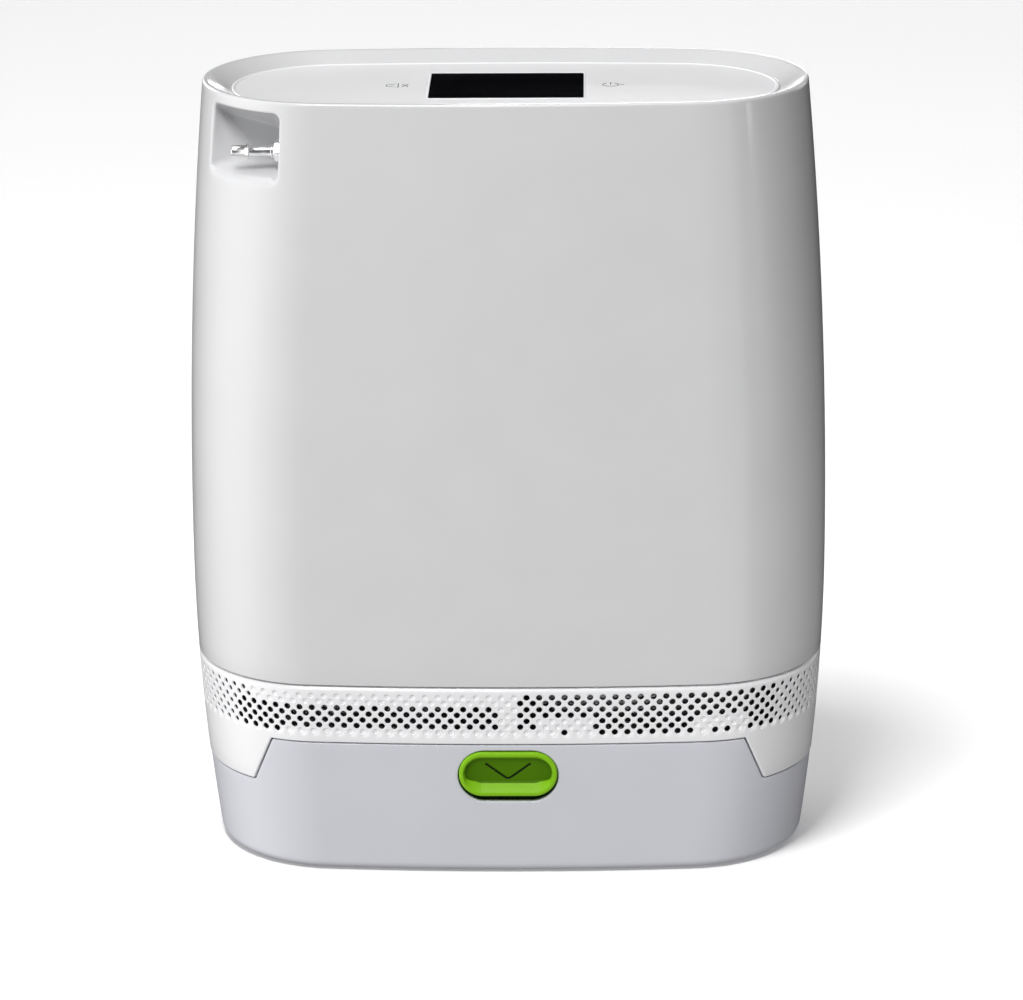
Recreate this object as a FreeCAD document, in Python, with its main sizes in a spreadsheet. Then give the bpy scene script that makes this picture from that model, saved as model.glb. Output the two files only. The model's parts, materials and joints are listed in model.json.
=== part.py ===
"""Portable oxygen concentrator with a clip-on battery, as a parametric document.

Millimetres. The origin is on the floor under the middle of the case, +X runs
to the right of the user, the front faces -Y and +Z points up.
"""
import FreeCAD, Part
import math
import os
import re
import Sketcher

V = FreeCAD.Vector

# ---------------------------------------------------------------- sizes
SIZES = {
    # outer form: an oval of four arcs at every height, widest at the waist
    "overall_height": 260.0,
    "waist_height": 100.0,
    "waist_half_width": 105.4,
    "waist_half_depth": 45.7,
    "upper_flank_radius": 1680.0,
    "lower_flank_radius": 720.0,
    "depth_taper": 0.3,
    "end_radius_share": 43.3 / 45.7,
    "case_bottom": 0.5,
    "wall": 2.2,
    "liner_gap": 0.12,
    "fit_gap": 0.05,
    "edge_round": 3.0,
    # seams between battery, lower housing and upper housing
    "seam_gap": 0.45,
    "housing_seam": 66.0,
    "battery_seam": 46.0,
    "seam_corner_x": 77.8,
    "ear_corner_x": 85.3,
    "ear_bottom": 30.0,
    "seam_corner_ratio": 0.635,
    "seam_reach": 126.5,
    # control panel in its dished ring
    "rim_flat": 1.4,
    "dish_depth": 3.4,
    "panel_half_width": 88.6,
    "panel_half_depth": 35.2,
    "panel_thickness": 1.6,
    "panel_gap": 0.15,
    "roof_thickness": 4.0,
    "window_width": 50.1,
    "window_depth": 38.3,
    "window_x": 0.45,
    "window_y": 0.45,
    "window_thickness": 0.9,
    "window_corner": 2.0,
    # outlet pocket at the front left corner
    "pocket_side_x": 71.0,
    "pocket_back_y": 15.0,
    "pocket_floor": 233.6,
    "pocket_top": 256.4,
    "pocket_wall": 1.8,
    "pocket_reach": 60.0,
    "ceiling_turn": 40.6,
    "ceiling_slope": 28.0,
    "side_turn": 28.0,
    "ceiling_foot_y": 16.1,
    "side_foot_x": 23.1,
    "side_foot_y": 21.0,
    # outlet nozzle
    "nozzle_y": 30.0,
    "nozzle_z": 242.4,
    "nozzle_radius": 1.85,
    "nozzle_bead_radius": 2.6,
    "nozzle_bead_width": 1.2,
    "nozzle_bead_setback": 4.4,
    "nozzle_length": 15.6,
    "nozzle_bore": 1.1,
    "nozzle_nut_radius": 3.55,
    "nozzle_nut_length": 2.0,
    "nozzle_tail": 7.0,
    "nozzle_hole_radius": 3.05,
    # vents in the lower housing
    "vent_radius": 0.9,
    "vent_pitch": 4.18,
    "vent_row_step": 2.06,
    "vent_first_row": 52.3,
    "vent_first_x": 6.27,
    # feet
    "foot_radius": 7.0,
    "foot_height": 1.5,
    "foot_x": 72.0,
    "foot_y": 24.0,
    # latch
    "slot_half_width": 16.4,
    "slot_bottom": 26.1,
    "slot_top": 44.0,
    "button_half_width": 16.2,
    "button_bottom": 27.6,
    "button_top": 43.7,
    "button_front": 45.2,
    "button_back": 42.7,
    "button_well": 1.4,
    "button_rim": 1.5,
    "flange_half_width": 18.4,
    "flange_bottom": 25.6,
    "flange_top": 43.0,
    "flange_thickness": 0.9,
    "flange_setback": 0.65,
    "stem_width": 8.0,
    "stem_bottom": 31.0,
    "stem_top": 35.0,
    "stem_back": 35.0,
    "stem_front": 41.7,
    "keeper_half_width": 8.0,
    "keeper_front": 40.5,
    "keeper_thickness": 1.6,
    "keeper_gap": 0.4,
    "keeper_foot": 7.0,
    "keeper_bottom": 36.0,
    "keeper_window_bottom": 38.0,
    "keeper_window_top": 42.0,
    "bolt_half_width": 6.0,
    "bolt_bottom": 38.6,
    "bolt_top": 41.4,
    "bolt_tip": 40.9,
    "bolt_back": 33.2,
    "bolt_play": 0.4,
    "bolt_chamfer": 1.0,
    "latch_frame_base": 22.0,
    "latch_frame_wall": 2.0,
    "latch_frame_half_width": 9.4,
    "latch_frame_front": 37.5,
    "latch_frame_back": 32.0,
    "latch_frame_top": 42.4,
    "latch_frame_foot": 3.0,
    "latch_frame_back_top": 37.6,
    "spring_radius": 2.2,
    "spring_wire": 0.4,
    "spring_pitch": 1.5,
    "spring_y": 36.0,
    # battery inside
    "cell_radius": 9.1,
    "cell_length": 65.0,
    "cell_pitch": 18.8,
    "cell_front": 30.0,
    "cell_bottom": 3.3,
    "holder_thickness": 2.0,
    "holder_radius": 9.15,
    "holder_inset": 7.0,
    "holder_trim": 1.0,
    "plug_width": 20.0,
    "plug_depth": 16.0,
    "plug_y": 22.0,
    "plug_bottom": 41.0,
    "blade_thickness": 0.8,
    "blade_depth": 6.0,
    "blade_height": 4.4,
    "blade_pitch": 3.6,
    "blade_gap": 0.4,
    "plug_play": 1.0,
    "socket_top": 57.0,
    "battery_board_x": 78.0,
    "battery_board_length": 44.0,
    "battery_board_height": 20.0,
    "battery_board_bottom": 6.0,
    "board_thickness": 1.6,
    "battery_screw_x": 88.0,
    "battery_screw_y": 12.0,
    "screw_radius": 1.4,
    "screw_head_radius": 2.6,
    "screw_head_height": 1.8,
    "post_radius": 3.6,
    "screw_hole_radius": 1.5,
    # screws that join the two housings
    "housing_screw_x": 97.0,
    "housing_screw_y": 12.0,
    "housing_post_radius": 4.6,
    "housing_post_top": 88.0,
    "housing_head_z": 54.0,
    "housing_screw_length": 26.0,
    # chassis
    "chassis_bottom": 49.0,
    "chassis_thickness": 2.5,
    "chassis_length": 160.0,
    "chassis_depth": 60.0,
    "isolator_radius": 5.0,
    "isolator_height": 8.0,
    "isolator_step_x": 16.0,
    "isolator_front_y": -20.0,
    "isolator_rear_y": 4.0,
    # compressor
    "crank_x": -30.0,
    "crank_z": 88.0,
    "crankcase_width": 42.0,
    "crankcase_front": -31.0,
    "crankcase_back": 14.0,
    "crankcase_top": 110.0,
    "crankcase_wall": 4.0,
    "crank_space_radius": 17.5,
    "cover_thickness": 3.0,
    "cover_inset": 3.0,
    "boss_setback": 4.2,
    "bore_radius": 15.0,
    "cylinder_radius": 18.0,
    "cylinder_length": 22.0,
    "left_bore_y": -12.0,
    "right_bore_y": -5.0,
    "head_size": 37.0,
    "head_thickness": 10.0,
    "head_chamber": 12.0,
    "head_slot": 1.6,
    "head_slot_pitch": 5.0,
    "head_slot_first": 3.0,
    "shaft_radius": 3.0,
    "shaft_clearance": 0.05,
    "shaft_front": -24.0,
    "shaft_back": 36.5,
    "bearing_radius": 8.0,
    "bearing_width": 4.0,
    "throw": 3.0,
    "eccentric_radius": 7.0,
    "eccentric_width": 6.0,
    "eccentric_bore_gap": 0.02,
    "cam_bridge_radius": 3.6,
    "rod_ring_radius": 10.0,
    "rod_height": 8.0,
    "rod_reach": 39.8,
    "rod_side_gap": 0.2,
    "piston_radius": 11.3,
    "piston_thickness": 4.0,
    "motor_radius": 20.0,
    "motor_wall": 1.5,
    "motor_length": 24.0,
    "stator_radius": 18.3,
    "stator_bore": 12.6,
    "stator_length": 16.0,
    "magnet_radius": 12.0,
    "magnet_length": 15.0,
    "magnet_shift": 1.0,
    # fan
    "fan_size": 56.0,
    "fan_height": 12.0,
    "fan_bottom": 125.0,
    "fan_y": 4.0,
    "fan_bore": 26.0,
    "fan_hub": 10.0,
    "fan_tip": 25.2,
    "fan_blade_thickness": 1.2,
    "fan_blade_height": 8.5,
    "fan_spindle": 2.0,
    "fan_spoke_width": 3.0,
    "fan_spoke_height": 1.6,
    "fan_spoke_trim": 2.0,
    "fan_post_height": 9.0,
    "fan_rotor_gap": 0.5,
    "fan_blade_root": 1.2,
    "fan_blade_lift": 1.0,
    "fan_blade_shift": 3.0,
    "fan_blade_angle": 40.0,
    # cooling coil
    "coil_radius": 21.0,
    "coil_pitch": 5.0,
    "coil_height": 7.5,
    "coil_pipe": 1.8,
    "coil_bottom": 114.0,
    "coil_y": -2.0,
    # sieve columns
    "sieve_x": 70.0,
    "sieve_y": 18.6,
    "sieve_radius": 17.5,
    "sieve_wall": 1.2,
    "sieve_bottom": 78.0,
    "sieve_top": 206.0,
    "sieve_cap_height": 12.0,
    "sieve_cap_lip": 0.6,
    # valve manifold, solenoids and plungers
    "manifold_width": 32.0,
    "manifold_depth": 66.0,
    "manifold_x": 68.0,
    "manifold_bottom": 52.0,
    "manifold_top": 77.5,
    "valve_z": 65.0,
    "valve_y": 13.0,
    "valve_radius": 8.0,
    "valve_length": 20.0,
    "valve_bore": 3.2,
    "valve_seat_depth": 4.0,
    "valve_stop": 3.0,
    "plunger_radius": 3.1,
    "plunger_length": 14.0,
    "plunger_nose": 1.0,
    # gas parts
    "tank_radius": 13.0,
    "tank_wall": 1.6,
    "tank_x": 28.0,
    "tank_y": 18.0,
    "tank_bottom": 120.0,
    "tank_top": 206.0,
    "muffler_radius": 10.0,
    "muffler_x": 16.0,
    "muffler_y": 28.0,
    "muffler_bottom": 58.0,
    "muffler_top": 102.0,
    "muffler_end": 4.0,
    "filter_width": 24.0,
    "filter_depth": 36.0,
    "filter_height": 30.0,
    "filter_x": -76.0,
    "filter_bottom": 128.0,
    "sensor_length": 50.0,
    "sensor_depth": 16.0,
    "sensor_height": 14.0,
    "sensor_x": -34.0,
    "sensor_y": 18.0,
    "sensor_bottom": 188.0,
    "dose_valve_size": 22.0,
    "dose_valve_x": -36.0,
    "dose_valve_y": -8.0,
    "dose_valve_bottom": 212.0,
    "dose_floor": 4.0,
    "dose_port_height": 10.0,
    "outlet_filter_radius": 7.0,
    "outlet_filter_length": 12.0,
    "outlet_filter_x": -61.0,
    "hose_radius": 2.6,
    "hose_bore": 1.5,
    "hose_gap": 0.3,
    "hose_rise": 18.0,
    "hose_shift": 26.0,
    "hose_side": 13.0,
    "hose_end_gap": 2.0,
    # electronics
    "main_board_length": 90.0,
    "main_board_height": 104.0,
    "main_board_y": -35.0,
    "main_board_bottom": 122.0,
    "spacer_radius": 2.6,
    "spacer_inset": 5.0,
    "spacer_length": 4.2,
    "panel_board_length": 88.0,
    "panel_board_depth": 54.0,
    "panel_board_bottom": 248.0,
    "display_gap": 1.0,
    "display_bottom": 250.2,
    "foam_width": 90.0,
    "foam_depth": 3.2,
    "foam_y": 36.5,
    "foam_bottom": 118.0,
    "foam_top": 236.0,
    # power inlet on the back
    "inlet_x": -72.0,
    "inlet_z": 82.0,
    "inlet_mouth": 41.2,
    "inlet_length": 15.0,
    "inlet_radius": 6.6,
    "inlet_bore": 3.9,
    "inlet_depth": 10.0,
    "inlet_gap": 0.15,
}

SECTION_HEIGHTS = (0.0, 35.0, 70.0, 105.0, 155.0, 205.0, 260.0)
VENT_ROWS = 4
VENTS_PER_ROW = 15
CELL_ROWS = 8
CELL_LAYERS = 2
FAN_BLADES = 7
HEAD_SLOTS = 7
BLADES = 5
HOSE_BEND = 2.5
TOLERANCE = 0.01
LEFT = -1
RIGHT = 1

doc = FreeCAD.newDocument("OxygenConcentrator")
sheet = doc.addObject("Spreadsheet::Sheet", "Sizes")
for row, (alias, number) in enumerate(SIZES.items(), 1):
    sheet.set(f"A{row}", alias)
    sheet.set(f"B{row}", str(number))
    sheet.setAlias(f"B{row}", alias)
doc.recompute()
probe = doc.addObject("App::FeaturePython", "Probe")
probe.addProperty("App::PropertyFloat", "Answer")

sub_parts = []


# ---------------------------------------------------------------- helpers
def size(alias):
    """The number that the spreadsheet holds under an alias."""
    return float(sheet.get(alias))


def linked(formula):
    """A formula in alias names, rewritten to read them from the spreadsheet."""
    return re.sub(r"[a-z_]{3,}", lambda word: (
        "Sizes." + word.group() if word.group() in SIZES else word.group()), str(formula))


def solve(formula):
    """The value of a formula in alias names."""
    probe.setExpression("Answer", linked(formula))
    probe.recompute()
    return float(probe.Answer)


def bind(item, **formulas):
    """Bind the properties of an item to formulas in alias names."""
    for name, formula in formulas.items():
        item.setExpression(name, linked(formula))
    return item


def place(item, x, y, z):
    """Bind an item's position."""
    for axis, formula in zip("xyz", (x, y, z)):
        item.setExpression(f"Placement.Base.{axis}", linked(formula))
    return item


def turned(axis):
    """The turn that takes +Z to a row axis."""
    target = {"X": V(1, 0, 0), "Y": V(0, 1, 0), "Z": V(0, 0, 1)}[axis]
    return FreeCAD.Rotation(V(0, 0, 1), target)


def box(name, width, depth, height, x, y, z):
    """A block centred on x and y, standing on z."""
    item = doc.addObject("Part::Box", name)
    bind(item, Length=width, Width=depth, Height=height)
    return place(item, f"({x}) - ({width}) / 2", f"({y}) - ({depth}) / 2", z)


def cylinder(name, radius, length, x, y, z, axis="Z"):
    """A cylinder that starts at a point and runs along a row axis."""
    item = doc.addObject("Part::Cylinder", name)
    item.Placement = FreeCAD.Placement(V(0, 0, 0), turned(axis))
    bind(item, Radius=radius, Height=length)
    return place(item, x, y, z)


def fuse(name, *items):
    item = doc.addObject("Part::MultiFuse", name)
    item.Shapes = list(items)
    return item


def common(name, first, second):
    item = doc.addObject("Part::MultiCommon", name)
    item.Shapes = [first, second]
    return item


def cut(name, base, *tools):
    """The base less every tool."""
    item = doc.addObject("Part::Cut", name)
    item.Base = base
    item.Tool = tools[0] if len(tools) == 1 else fuse(name + "_tools", *tools)
    return item


def group(name, items):
    """Several separate solids of one kind in one node."""
    item = doc.addObject("Part::Compound", name)
    item.Links = list(items)
    return item


def ring(name, outer, inner, length, x, y, z, axis="Z"):
    """A plain tube."""
    return cut(name, cylinder(name + "_outer", outer, length, x, y, z, axis),
               cylinder(name + "_bore", inner, length, x, y, z, axis))


def sub_part(item, label):
    """Name a finished piece; its label is the name of its file."""
    item.Label = label
    sub_parts.append(item)
    return item


def datum(sketch, kind, where, formula):
    """Add a dimension to a sketch and bind it."""
    index = sketch.addConstraint(Sketcher.Constraint(kind, *where, solve(formula)))
    sketch.setExpression(f"Constraints[{index}]", linked(formula))


def polygon(name, points, turn=None):
    """A closed outline whose corners are bound one by one."""
    sketch = doc.addObject("Sketcher::SketchObject", name)
    if turn is not None:
        sketch.Placement = FreeCAD.Placement(V(0, 0, 0), turn)
    corners = [V(solve(x), solve(y), 0) for x, y in points]
    for start, end in zip(corners, corners[1:] + corners[:1]):
        sketch.addGeometry(Part.LineSegment(start, end))
    count = len(corners)
    for index in range(count):
        sketch.addConstraint(Sketcher.Constraint("Coincident", index, 2, (index + 1) % count, 1))
    for index, (x, y) in enumerate(points):
        datum(sketch, "DistanceX", (-1, 1, index, 1), x)
        datum(sketch, "DistanceY", (-1, 1, index, 1), y)
    return sketch


def extrude(name, sketch, direction, length):
    """A prism that reaches half its length to each side of its sketch."""
    item = doc.addObject("Part::Extrusion", name)
    item.Base = sketch
    item.DirMode = "Custom"
    item.Dir = direction
    item.Solid = True
    item.Symmetric = True
    return bind(item, LengthFwd=length)


def stadium(name, half_width, bottom, top, front, back):
    """A flat slot shape, upright and facing -Y, between two depths."""
    radius = f"(({top}) - ({bottom})) / 2"
    middle = f"(({top}) + ({bottom})) / 2"
    depth = f"({front}) - ({back})"
    start = f"-({front})"
    span = f"({half_width}) - ({radius})"
    ends = [cylinder(f"{name}_end_{side}", radius, depth, f"{side} * ({span})", start, middle, "Y")
            for side in (LEFT, RIGHT)]
    centre = f"-(({front}) + ({back})) / 2"
    body = box(name + "_middle", f"2 * ({span})", depth, f"2 * ({radius})", "0", centre, bottom)
    return fuse(name, body, *ends)


# ---------------------------------------------------------------- outer form
def half_width_at(height):
    """Half the case's width at a height: two arcs of large radius, flat at the waist."""
    flank = "upper_flank_radius" if height > SIZES["waist_height"] else "lower_flank_radius"
    return f"waist_half_width - ({height} - waist_height)^2 / (2 * {flank})"


def half_depth_at(height):
    return f"waist_half_depth - depth_taper * (waist_half_width - ({half_width_at(height)}))"


def oval(name, height, half_width, half_depth, end_radius):
    """A level oval of two end arcs and two bow arcs, all tangent."""
    width, depth, radius = solve(half_width), solve(half_depth), solve(end_radius)
    bow = f"(({half_width})^2 + ({half_depth})^2 - 2 * ({half_width}) * ({end_radius}))"
    bow = f"{bow} / (2 * (({half_depth}) - ({end_radius})))"
    end_x = width - radius
    bow_y = solve(bow) - depth
    tilt = math.atan2(bow_y, end_x)
    quarter = math.pi / 2
    sketch = doc.addObject("Sketcher::SketchObject", name)
    up = V(0, 0, 1)
    for centre, size_now, first, last in (
            (V(end_x, 0, 0), radius, -tilt, tilt),
            (V(0, -bow_y, 0), solve(bow), tilt, 2 * quarter - tilt),
            (V(-end_x, 0, 0), radius, 2 * quarter - tilt, 2 * quarter + tilt),
            (V(0, bow_y, 0), solve(bow), 2 * quarter + tilt, 4 * quarter - tilt)):
        sketch.addGeometry(Part.ArcOfCircle(Part.Circle(centre, up, size_now), first, last))
    for index, axis in enumerate((-1, -2, -1)):
        sketch.addConstraint(Sketcher.Constraint("PointOnObject", index, 3, axis))
    for index in range(4):
        sketch.addConstraint(Sketcher.Constraint("Tangent", index, 2, (index + 1) % 4, 1))
    span = f"({half_width}) - ({end_radius})"
    datum(sketch, "Radius", (0,), end_radius)
    datum(sketch, "DistanceX", (-1, 1, 0, 3), span)
    datum(sketch, "DistanceX", (2, 3, -1, 1), span)
    datum(sketch, "DistanceY", (1, 3, -1, 1), f"({bow}) - ({half_depth})")
    datum(sketch, "DistanceY", (-1, 1, 3, 3), f"({bow}) - ({half_depth})")
    sketch.setExpression("Placement.Base.z", linked(height))
    return sketch


def case_oval(name, height, inset, level=None):
    """The case's outline at a height, set in by an even distance."""
    width, depth = half_width_at(height), half_depth_at(height)
    return oval(name, level or height, f"({width}) - ({inset})", f"({depth}) - ({inset})",
                f"({depth}) * end_radius_share - ({inset})")


def loft(name, sections):
    item = doc.addObject("Part::Loft", name)
    item.Sections = sections
    item.Solid = True
    item.Ruled = len(sections) == 2
    return item


def form(name, inset):
    """The whole case's form, set in by an even distance."""
    return loft(name, [case_oval(f"{name}_{int(height)}", height, inset)
                       for height in SECTION_HEIGHTS])


def under_seam(name, lift):
    """Everything below the stepped seam, whose line is raised by a distance."""
    corner = f"seam_corner_x + seam_corner_ratio * ({lift})"
    ear = f"ear_corner_x + seam_corner_ratio * ({lift})"
    top = f"battery_seam + ({lift})"
    low = f"ear_bottom + ({lift})"
    far = "seam_reach"
    deep = "-housing_seam"
    outline = [(f"-({far})", deep), (far, deep), (far, low), (ear, low), (corner, top),
               (f"-({corner})", top), (f"-({ear})", low), (f"-({far})", low)]
    upright = FreeCAD.Rotation(V(1, 0, 0), 90)
    sketch = polygon(name + "_outline", outline, upright)
    return extrude(name, sketch, V(0, 1, 0), "4 * waist_half_depth")


def slab(name, bottom, top):
    """Everything between two heights."""
    return box(name, "4 * waist_half_width", "4 * waist_half_depth", f"({top}) - ({bottom})",
               "0", "0", bottom)


outer_form = form("outer_form", "0")
inner_form = form("inner_form", "wall")
liner_form = form("liner_form", "wall + liner_gap")


# ---------------------------------------------------------------- upper housing
def pocket_cavity():
    """The scoop round the outlet: floor, back and side walls, and a falling ceiling."""
    depth = "pocket_reach - pocket_back_y"
    middle = "-(pocket_reach + pocket_back_y) / 2"
    scoop = box("pocket_scoop", "pocket_reach", depth, "pocket_top - pocket_floor",
                "-pocket_side_x - pocket_reach / 2", middle, "pocket_floor")
    ceiling = doc.addObject("Part::Box", "pocket_ceiling")
    bind(ceiling, Length="pocket_reach", Width="pocket_reach", Height="pocket_reach / 2")
    along = FreeCAD.Rotation(V(0, 0, 1), -size("ceiling_turn"))
    fall = FreeCAD.Rotation(V(1, 0, 0), -size("ceiling_slope"))
    ceiling.Placement = FreeCAD.Placement(V(0, 0, 0), along.multiply(fall))
    place(ceiling, "-pocket_side_x - pocket_reach / 2", "-ceiling_foot_y", "pocket_top")
    side = doc.addObject("Part::Box", "pocket_side")
    bind(side, Length="pocket_reach", Width="pocket_reach / 2", Height="pocket_reach / 2")
    side.Placement = FreeCAD.Placement(V(0, 0, 0), FreeCAD.Rotation(V(0, 0, 1), size("side_turn")))
    place(side, "-pocket_side_x - side_foot_x", "-side_foot_y",
          "pocket_floor - wall")
    return cut("pocket_cavity", scoop, ceiling, side)


def dish():
    """The sloping ring inside the top rim, down to the control panel."""
    rim = case_oval("dish_rim", size("overall_height"), "rim_flat")
    floor = oval("dish_floor", "overall_height - dish_depth", "panel_half_width",
                 "panel_half_depth", "panel_half_depth * end_radius_share")
    return loft("dish", [floor, rim])


def panel_oval(name, bottom, top, shrink):
    """An upright prism of the control panel's outline."""
    sketches = [oval(f"{name}_{end}", level, f"panel_half_width - ({shrink})",
                     f"panel_half_depth - ({shrink})",
                     f"panel_half_depth * end_radius_share - ({shrink})")
                for end, level in (("low", bottom), ("high", top))]
    return loft(name, sketches)


def upper_housing():
    top = "overall_height"
    panel_top = f"{top} - dish_depth"
    shell = common("upper_outside", outer_form, slab("upper_zone", "housing_seam + seam_gap / 2", top))
    hollow = common("upper_inside", inner_form,
                    slab("upper_room", "housing_seam - wall", f"{panel_top} - roof_thickness"))
    pocket_block = box("pocket_block", "pocket_reach + pocket_wall",
                       "pocket_reach - pocket_back_y + pocket_wall",
                       f"{top} - pocket_floor + pocket_wall",
                       "-pocket_side_x + pocket_wall - (pocket_reach + pocket_wall) / 2",
                       "-(pocket_reach + pocket_back_y - pocket_wall) / 2",
                       "pocket_floor - pocket_wall")
    pocket_walls = common("pocket_walls", outer_form, pocket_block)
    posts = [ring(f"upper_post_{side}_{end}".replace("-", "m"), "housing_post_radius",
                  "screw_hole_radius", "housing_post_top - housing_seam - seam_gap / 2",
                  f"{side} * housing_screw_x", f"{end} * housing_screw_y",
                  "housing_seam + seam_gap / 2")
             for side in (LEFT, RIGHT) for end in (LEFT, RIGHT)]
    posts_inside = common("upper_posts", fuse("upper_post_group", *posts), outer_form)
    walls = cut("upper_walls", shell, hollow)
    recess = panel_oval("panel_recess", f"{panel_top} - panel_thickness", top, "0")
    opening = box("panel_opening", "window_width + 4 * wall", "window_depth + 2 * wall",
                  "2 * roof_thickness", "window_x", "window_y",
                  f"{panel_top} - 1.5 * roof_thickness")
    nozzle_hole = cylinder("nozzle_hole", "nozzle_hole_radius", "3 * pocket_wall",
                           "-pocket_side_x - pocket_wall", "-nozzle_y", "nozzle_z", "X")
    inlet_hole = cylinder("inlet_hole", "inlet_radius + inlet_gap", "2 * inlet_length",
                          "inlet_x", "inlet_mouth - inlet_length", "inlet_z", "Y")
    body = fuse("upper_body", walls, pocket_walls, posts_inside)
    item = cut("upper_shell", body, pocket_cavity(), dish(), recess, opening,
               nozzle_hole, inlet_hole)
    return sub_part(item, "upper_housing")


def control_panel():
    top = "overall_height - dish_depth"
    plate = panel_oval("panel_plate", f"{top} - panel_thickness + panel_gap / 2", top, "panel_gap")
    recess = box("window_recess", "window_width", "window_depth", "panel_thickness",
                 "window_x", "window_y", f"{top} - window_thickness - panel_gap")
    sight = box("window_sight", "window_width - 2 * wall", "window_depth - 2 * wall",
                "2 * panel_thickness", "window_x", "window_y", f"{top} - 1.5 * panel_thickness")
    return sub_part(cut("panel_body", plate, recess, sight), "control_panel")


def display():
    top = "overall_height - dish_depth"
    pane = box("pane", "window_width - 2 * panel_gap", "window_depth - 2 * panel_gap",
               "window_thickness", "window_x", "window_y", f"{top} - window_thickness")
    glass = doc.addObject("Part::Fillet", "pane_rounded")
    glass.Base = pane
    doc.recompute()
    glass.Edges = [(index, size("window_corner"), size("window_corner"))
                   for index, edge in enumerate(pane.Shape.Edges, 1) if is_upright(edge)]
    sub_part(glass, "display_window")
    sub_part(box("display_body", "window_width - 3 * wall", "window_depth - 3 * wall",
                 f"{top} - window_thickness - display_gap - display_bottom",
                 "window_x", "window_y", "display_bottom"), "display_module")


def is_upright(edge):
    """Whether a straight edge runs along Z."""
    start, end = edge.Vertexes[0].Point, edge.Vertexes[-1].Point
    return abs(end.z - start.z) > edge.Length * 0.999


def panel_electronics():
    board = box("touch_plate", "panel_board_length", "panel_board_depth", "board_thickness",
                "window_x", "window_y", "panel_board_bottom")
    return sub_part(board, "touch_key_board")


# ---------------------------------------------------------------- outlet
def outlet():
    tip = "-pocket_side_x - nozzle_length"
    stem = cylinder("nozzle_stem", "nozzle_radius", "nozzle_length + nozzle_tail", tip,
                    "-nozzle_y", "nozzle_z", "X")
    bead = doc.addObject("Part::Cone", "nozzle_bead")
    bead.Placement = FreeCAD.Placement(V(0, 0, 0), turned("X"))
    bind(bead, Radius1="nozzle_radius", Radius2="nozzle_bead_radius", Height="nozzle_bead_width")
    place(bead, f"{tip} + nozzle_bead_setback - nozzle_bead_width", "-nozzle_y", "nozzle_z")
    gas_way = cylinder("nozzle_gas_way", "nozzle_bore", "nozzle_length + nozzle_tail", tip,
                       "-nozzle_y", "nozzle_z", "X")
    sub_part(cut("nozzle_body", fuse("nozzle_solid", stem, bead), gas_way), "outlet_nozzle")
    nut = doc.addObject("Part::Prism", "nut_blank")
    nut.Polygon = 6
    nut.Placement = FreeCAD.Placement(V(0, 0, 0), turned("X"))
    bind(nut, Circumradius="nozzle_nut_radius", Height="nozzle_nut_length")
    place(nut, "-pocket_side_x - nozzle_nut_length - panel_gap / 3", "-nozzle_y", "nozzle_z")
    nut_hole = cylinder("nut_hole", "nozzle_radius + shaft_clearance", "2 * nozzle_nut_length",
                        "-pocket_side_x - 1.5 * nozzle_nut_length", "-nozzle_y", "nozzle_z", "X")
    sub_part(cut("nut_body", nut, nut_hole), "outlet_nut")
    sub_part(ring("nozzle_seal_ring", "nozzle_nut_radius + wall / 2", "nozzle_radius + shaft_clearance",
                  "wall / 2", "-pocket_side_x + pocket_wall + panel_gap / 2", "-nozzle_y",
                  "nozzle_z", "X"), "outlet_seal")
    can = cylinder("outlet_can", "outlet_filter_radius", "outlet_filter_length",
                   "outlet_filter_x", "-nozzle_y", "nozzle_z", "X")
    socket = cylinder("outlet_can_bore", "nozzle_bore", "outlet_filter_length",
                      "outlet_filter_x", "-nozzle_y", "nozzle_z", "X")
    sub_part(cut("outlet_can_body", can, socket), "outlet_filter")


# ---------------------------------------------------------------- lower housing
def vents():
    """Cylinders along Y that open the front and back walls row by row."""
    tools = []
    for line in range(VENT_ROWS):
        shift = 0.5 * (line % 2)
        for column in range(VENTS_PER_ROW):
            for side in (LEFT, RIGHT):
                x = f"{side} * (vent_first_x + vent_pitch * ({column} - {shift}))"
                z = f"vent_first_row + {line} * vent_row_step"
                tools.append(cylinder(f"vent_{line}_{column}_{'lr'[side > 0]}", "vent_radius",
                                      "3 * waist_half_depth", x, "-1.5 * waist_half_depth", z, "Y"))
    return fuse("vents", *tools)


def lower_housing():
    lift = "seam_gap / 2"
    outside = cut("lower_outside",
                  common("lower_block", outer_form,
                         slab("lower_zone", "0", "housing_seam - seam_gap / 2")),
                  under_seam("lower_cut", lift))
    inside = cut("lower_inside",
                 common("lower_core", inner_form, slab("lower_room", "0", "housing_seam + wall")),
                 under_seam("lower_floor", f"{lift} + wall"))
    posts = []
    holes = []
    for side in (LEFT, RIGHT):
        for end in (LEFT, RIGHT):
            tag = f"{'lr'[side > 0]}{'fb'[end > 0]}"
            x, y = f"{side} * housing_screw_x", f"{end} * housing_screw_y"
            posts.append(cylinder(f"lower_post_{tag}", "housing_post_radius",
                                  "housing_seam - ear_bottom - seam_gap", x, y,
                                  "ear_bottom + seam_gap / 2"))
            holes.append(cylinder(f"lower_hole_{tag}", "screw_hole_radius",
                                  "overall_height", x, y, "0"))
            holes.append(cylinder(f"lower_sink_{tag}", "screw_head_radius + wall / 4",
                                  "housing_head_z", x, y, "0"))
    post_group = common("lower_posts", fuse("lower_post_group", *posts), outer_form)
    plug_hole = box("plug_hole", "plug_width + plug_play", "plug_depth + plug_play", "4 * wall",
                    "0", "plug_y", "battery_seam - wall")
    catch_way = box("catch_way", "2 * keeper_half_width + keeper_gap",
                    "keeper_thickness + keeper_gap", "4 * wall", "0",
                    "-keeper_front + keeper_thickness / 2", "battery_seam - wall")
    body = fuse("lower_body", cut("lower_walls", outside, inside), post_group)
    return sub_part(cut("lower_shell", body, vents(), plug_hole, catch_way, *holes),
                    "lower_housing")


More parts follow.
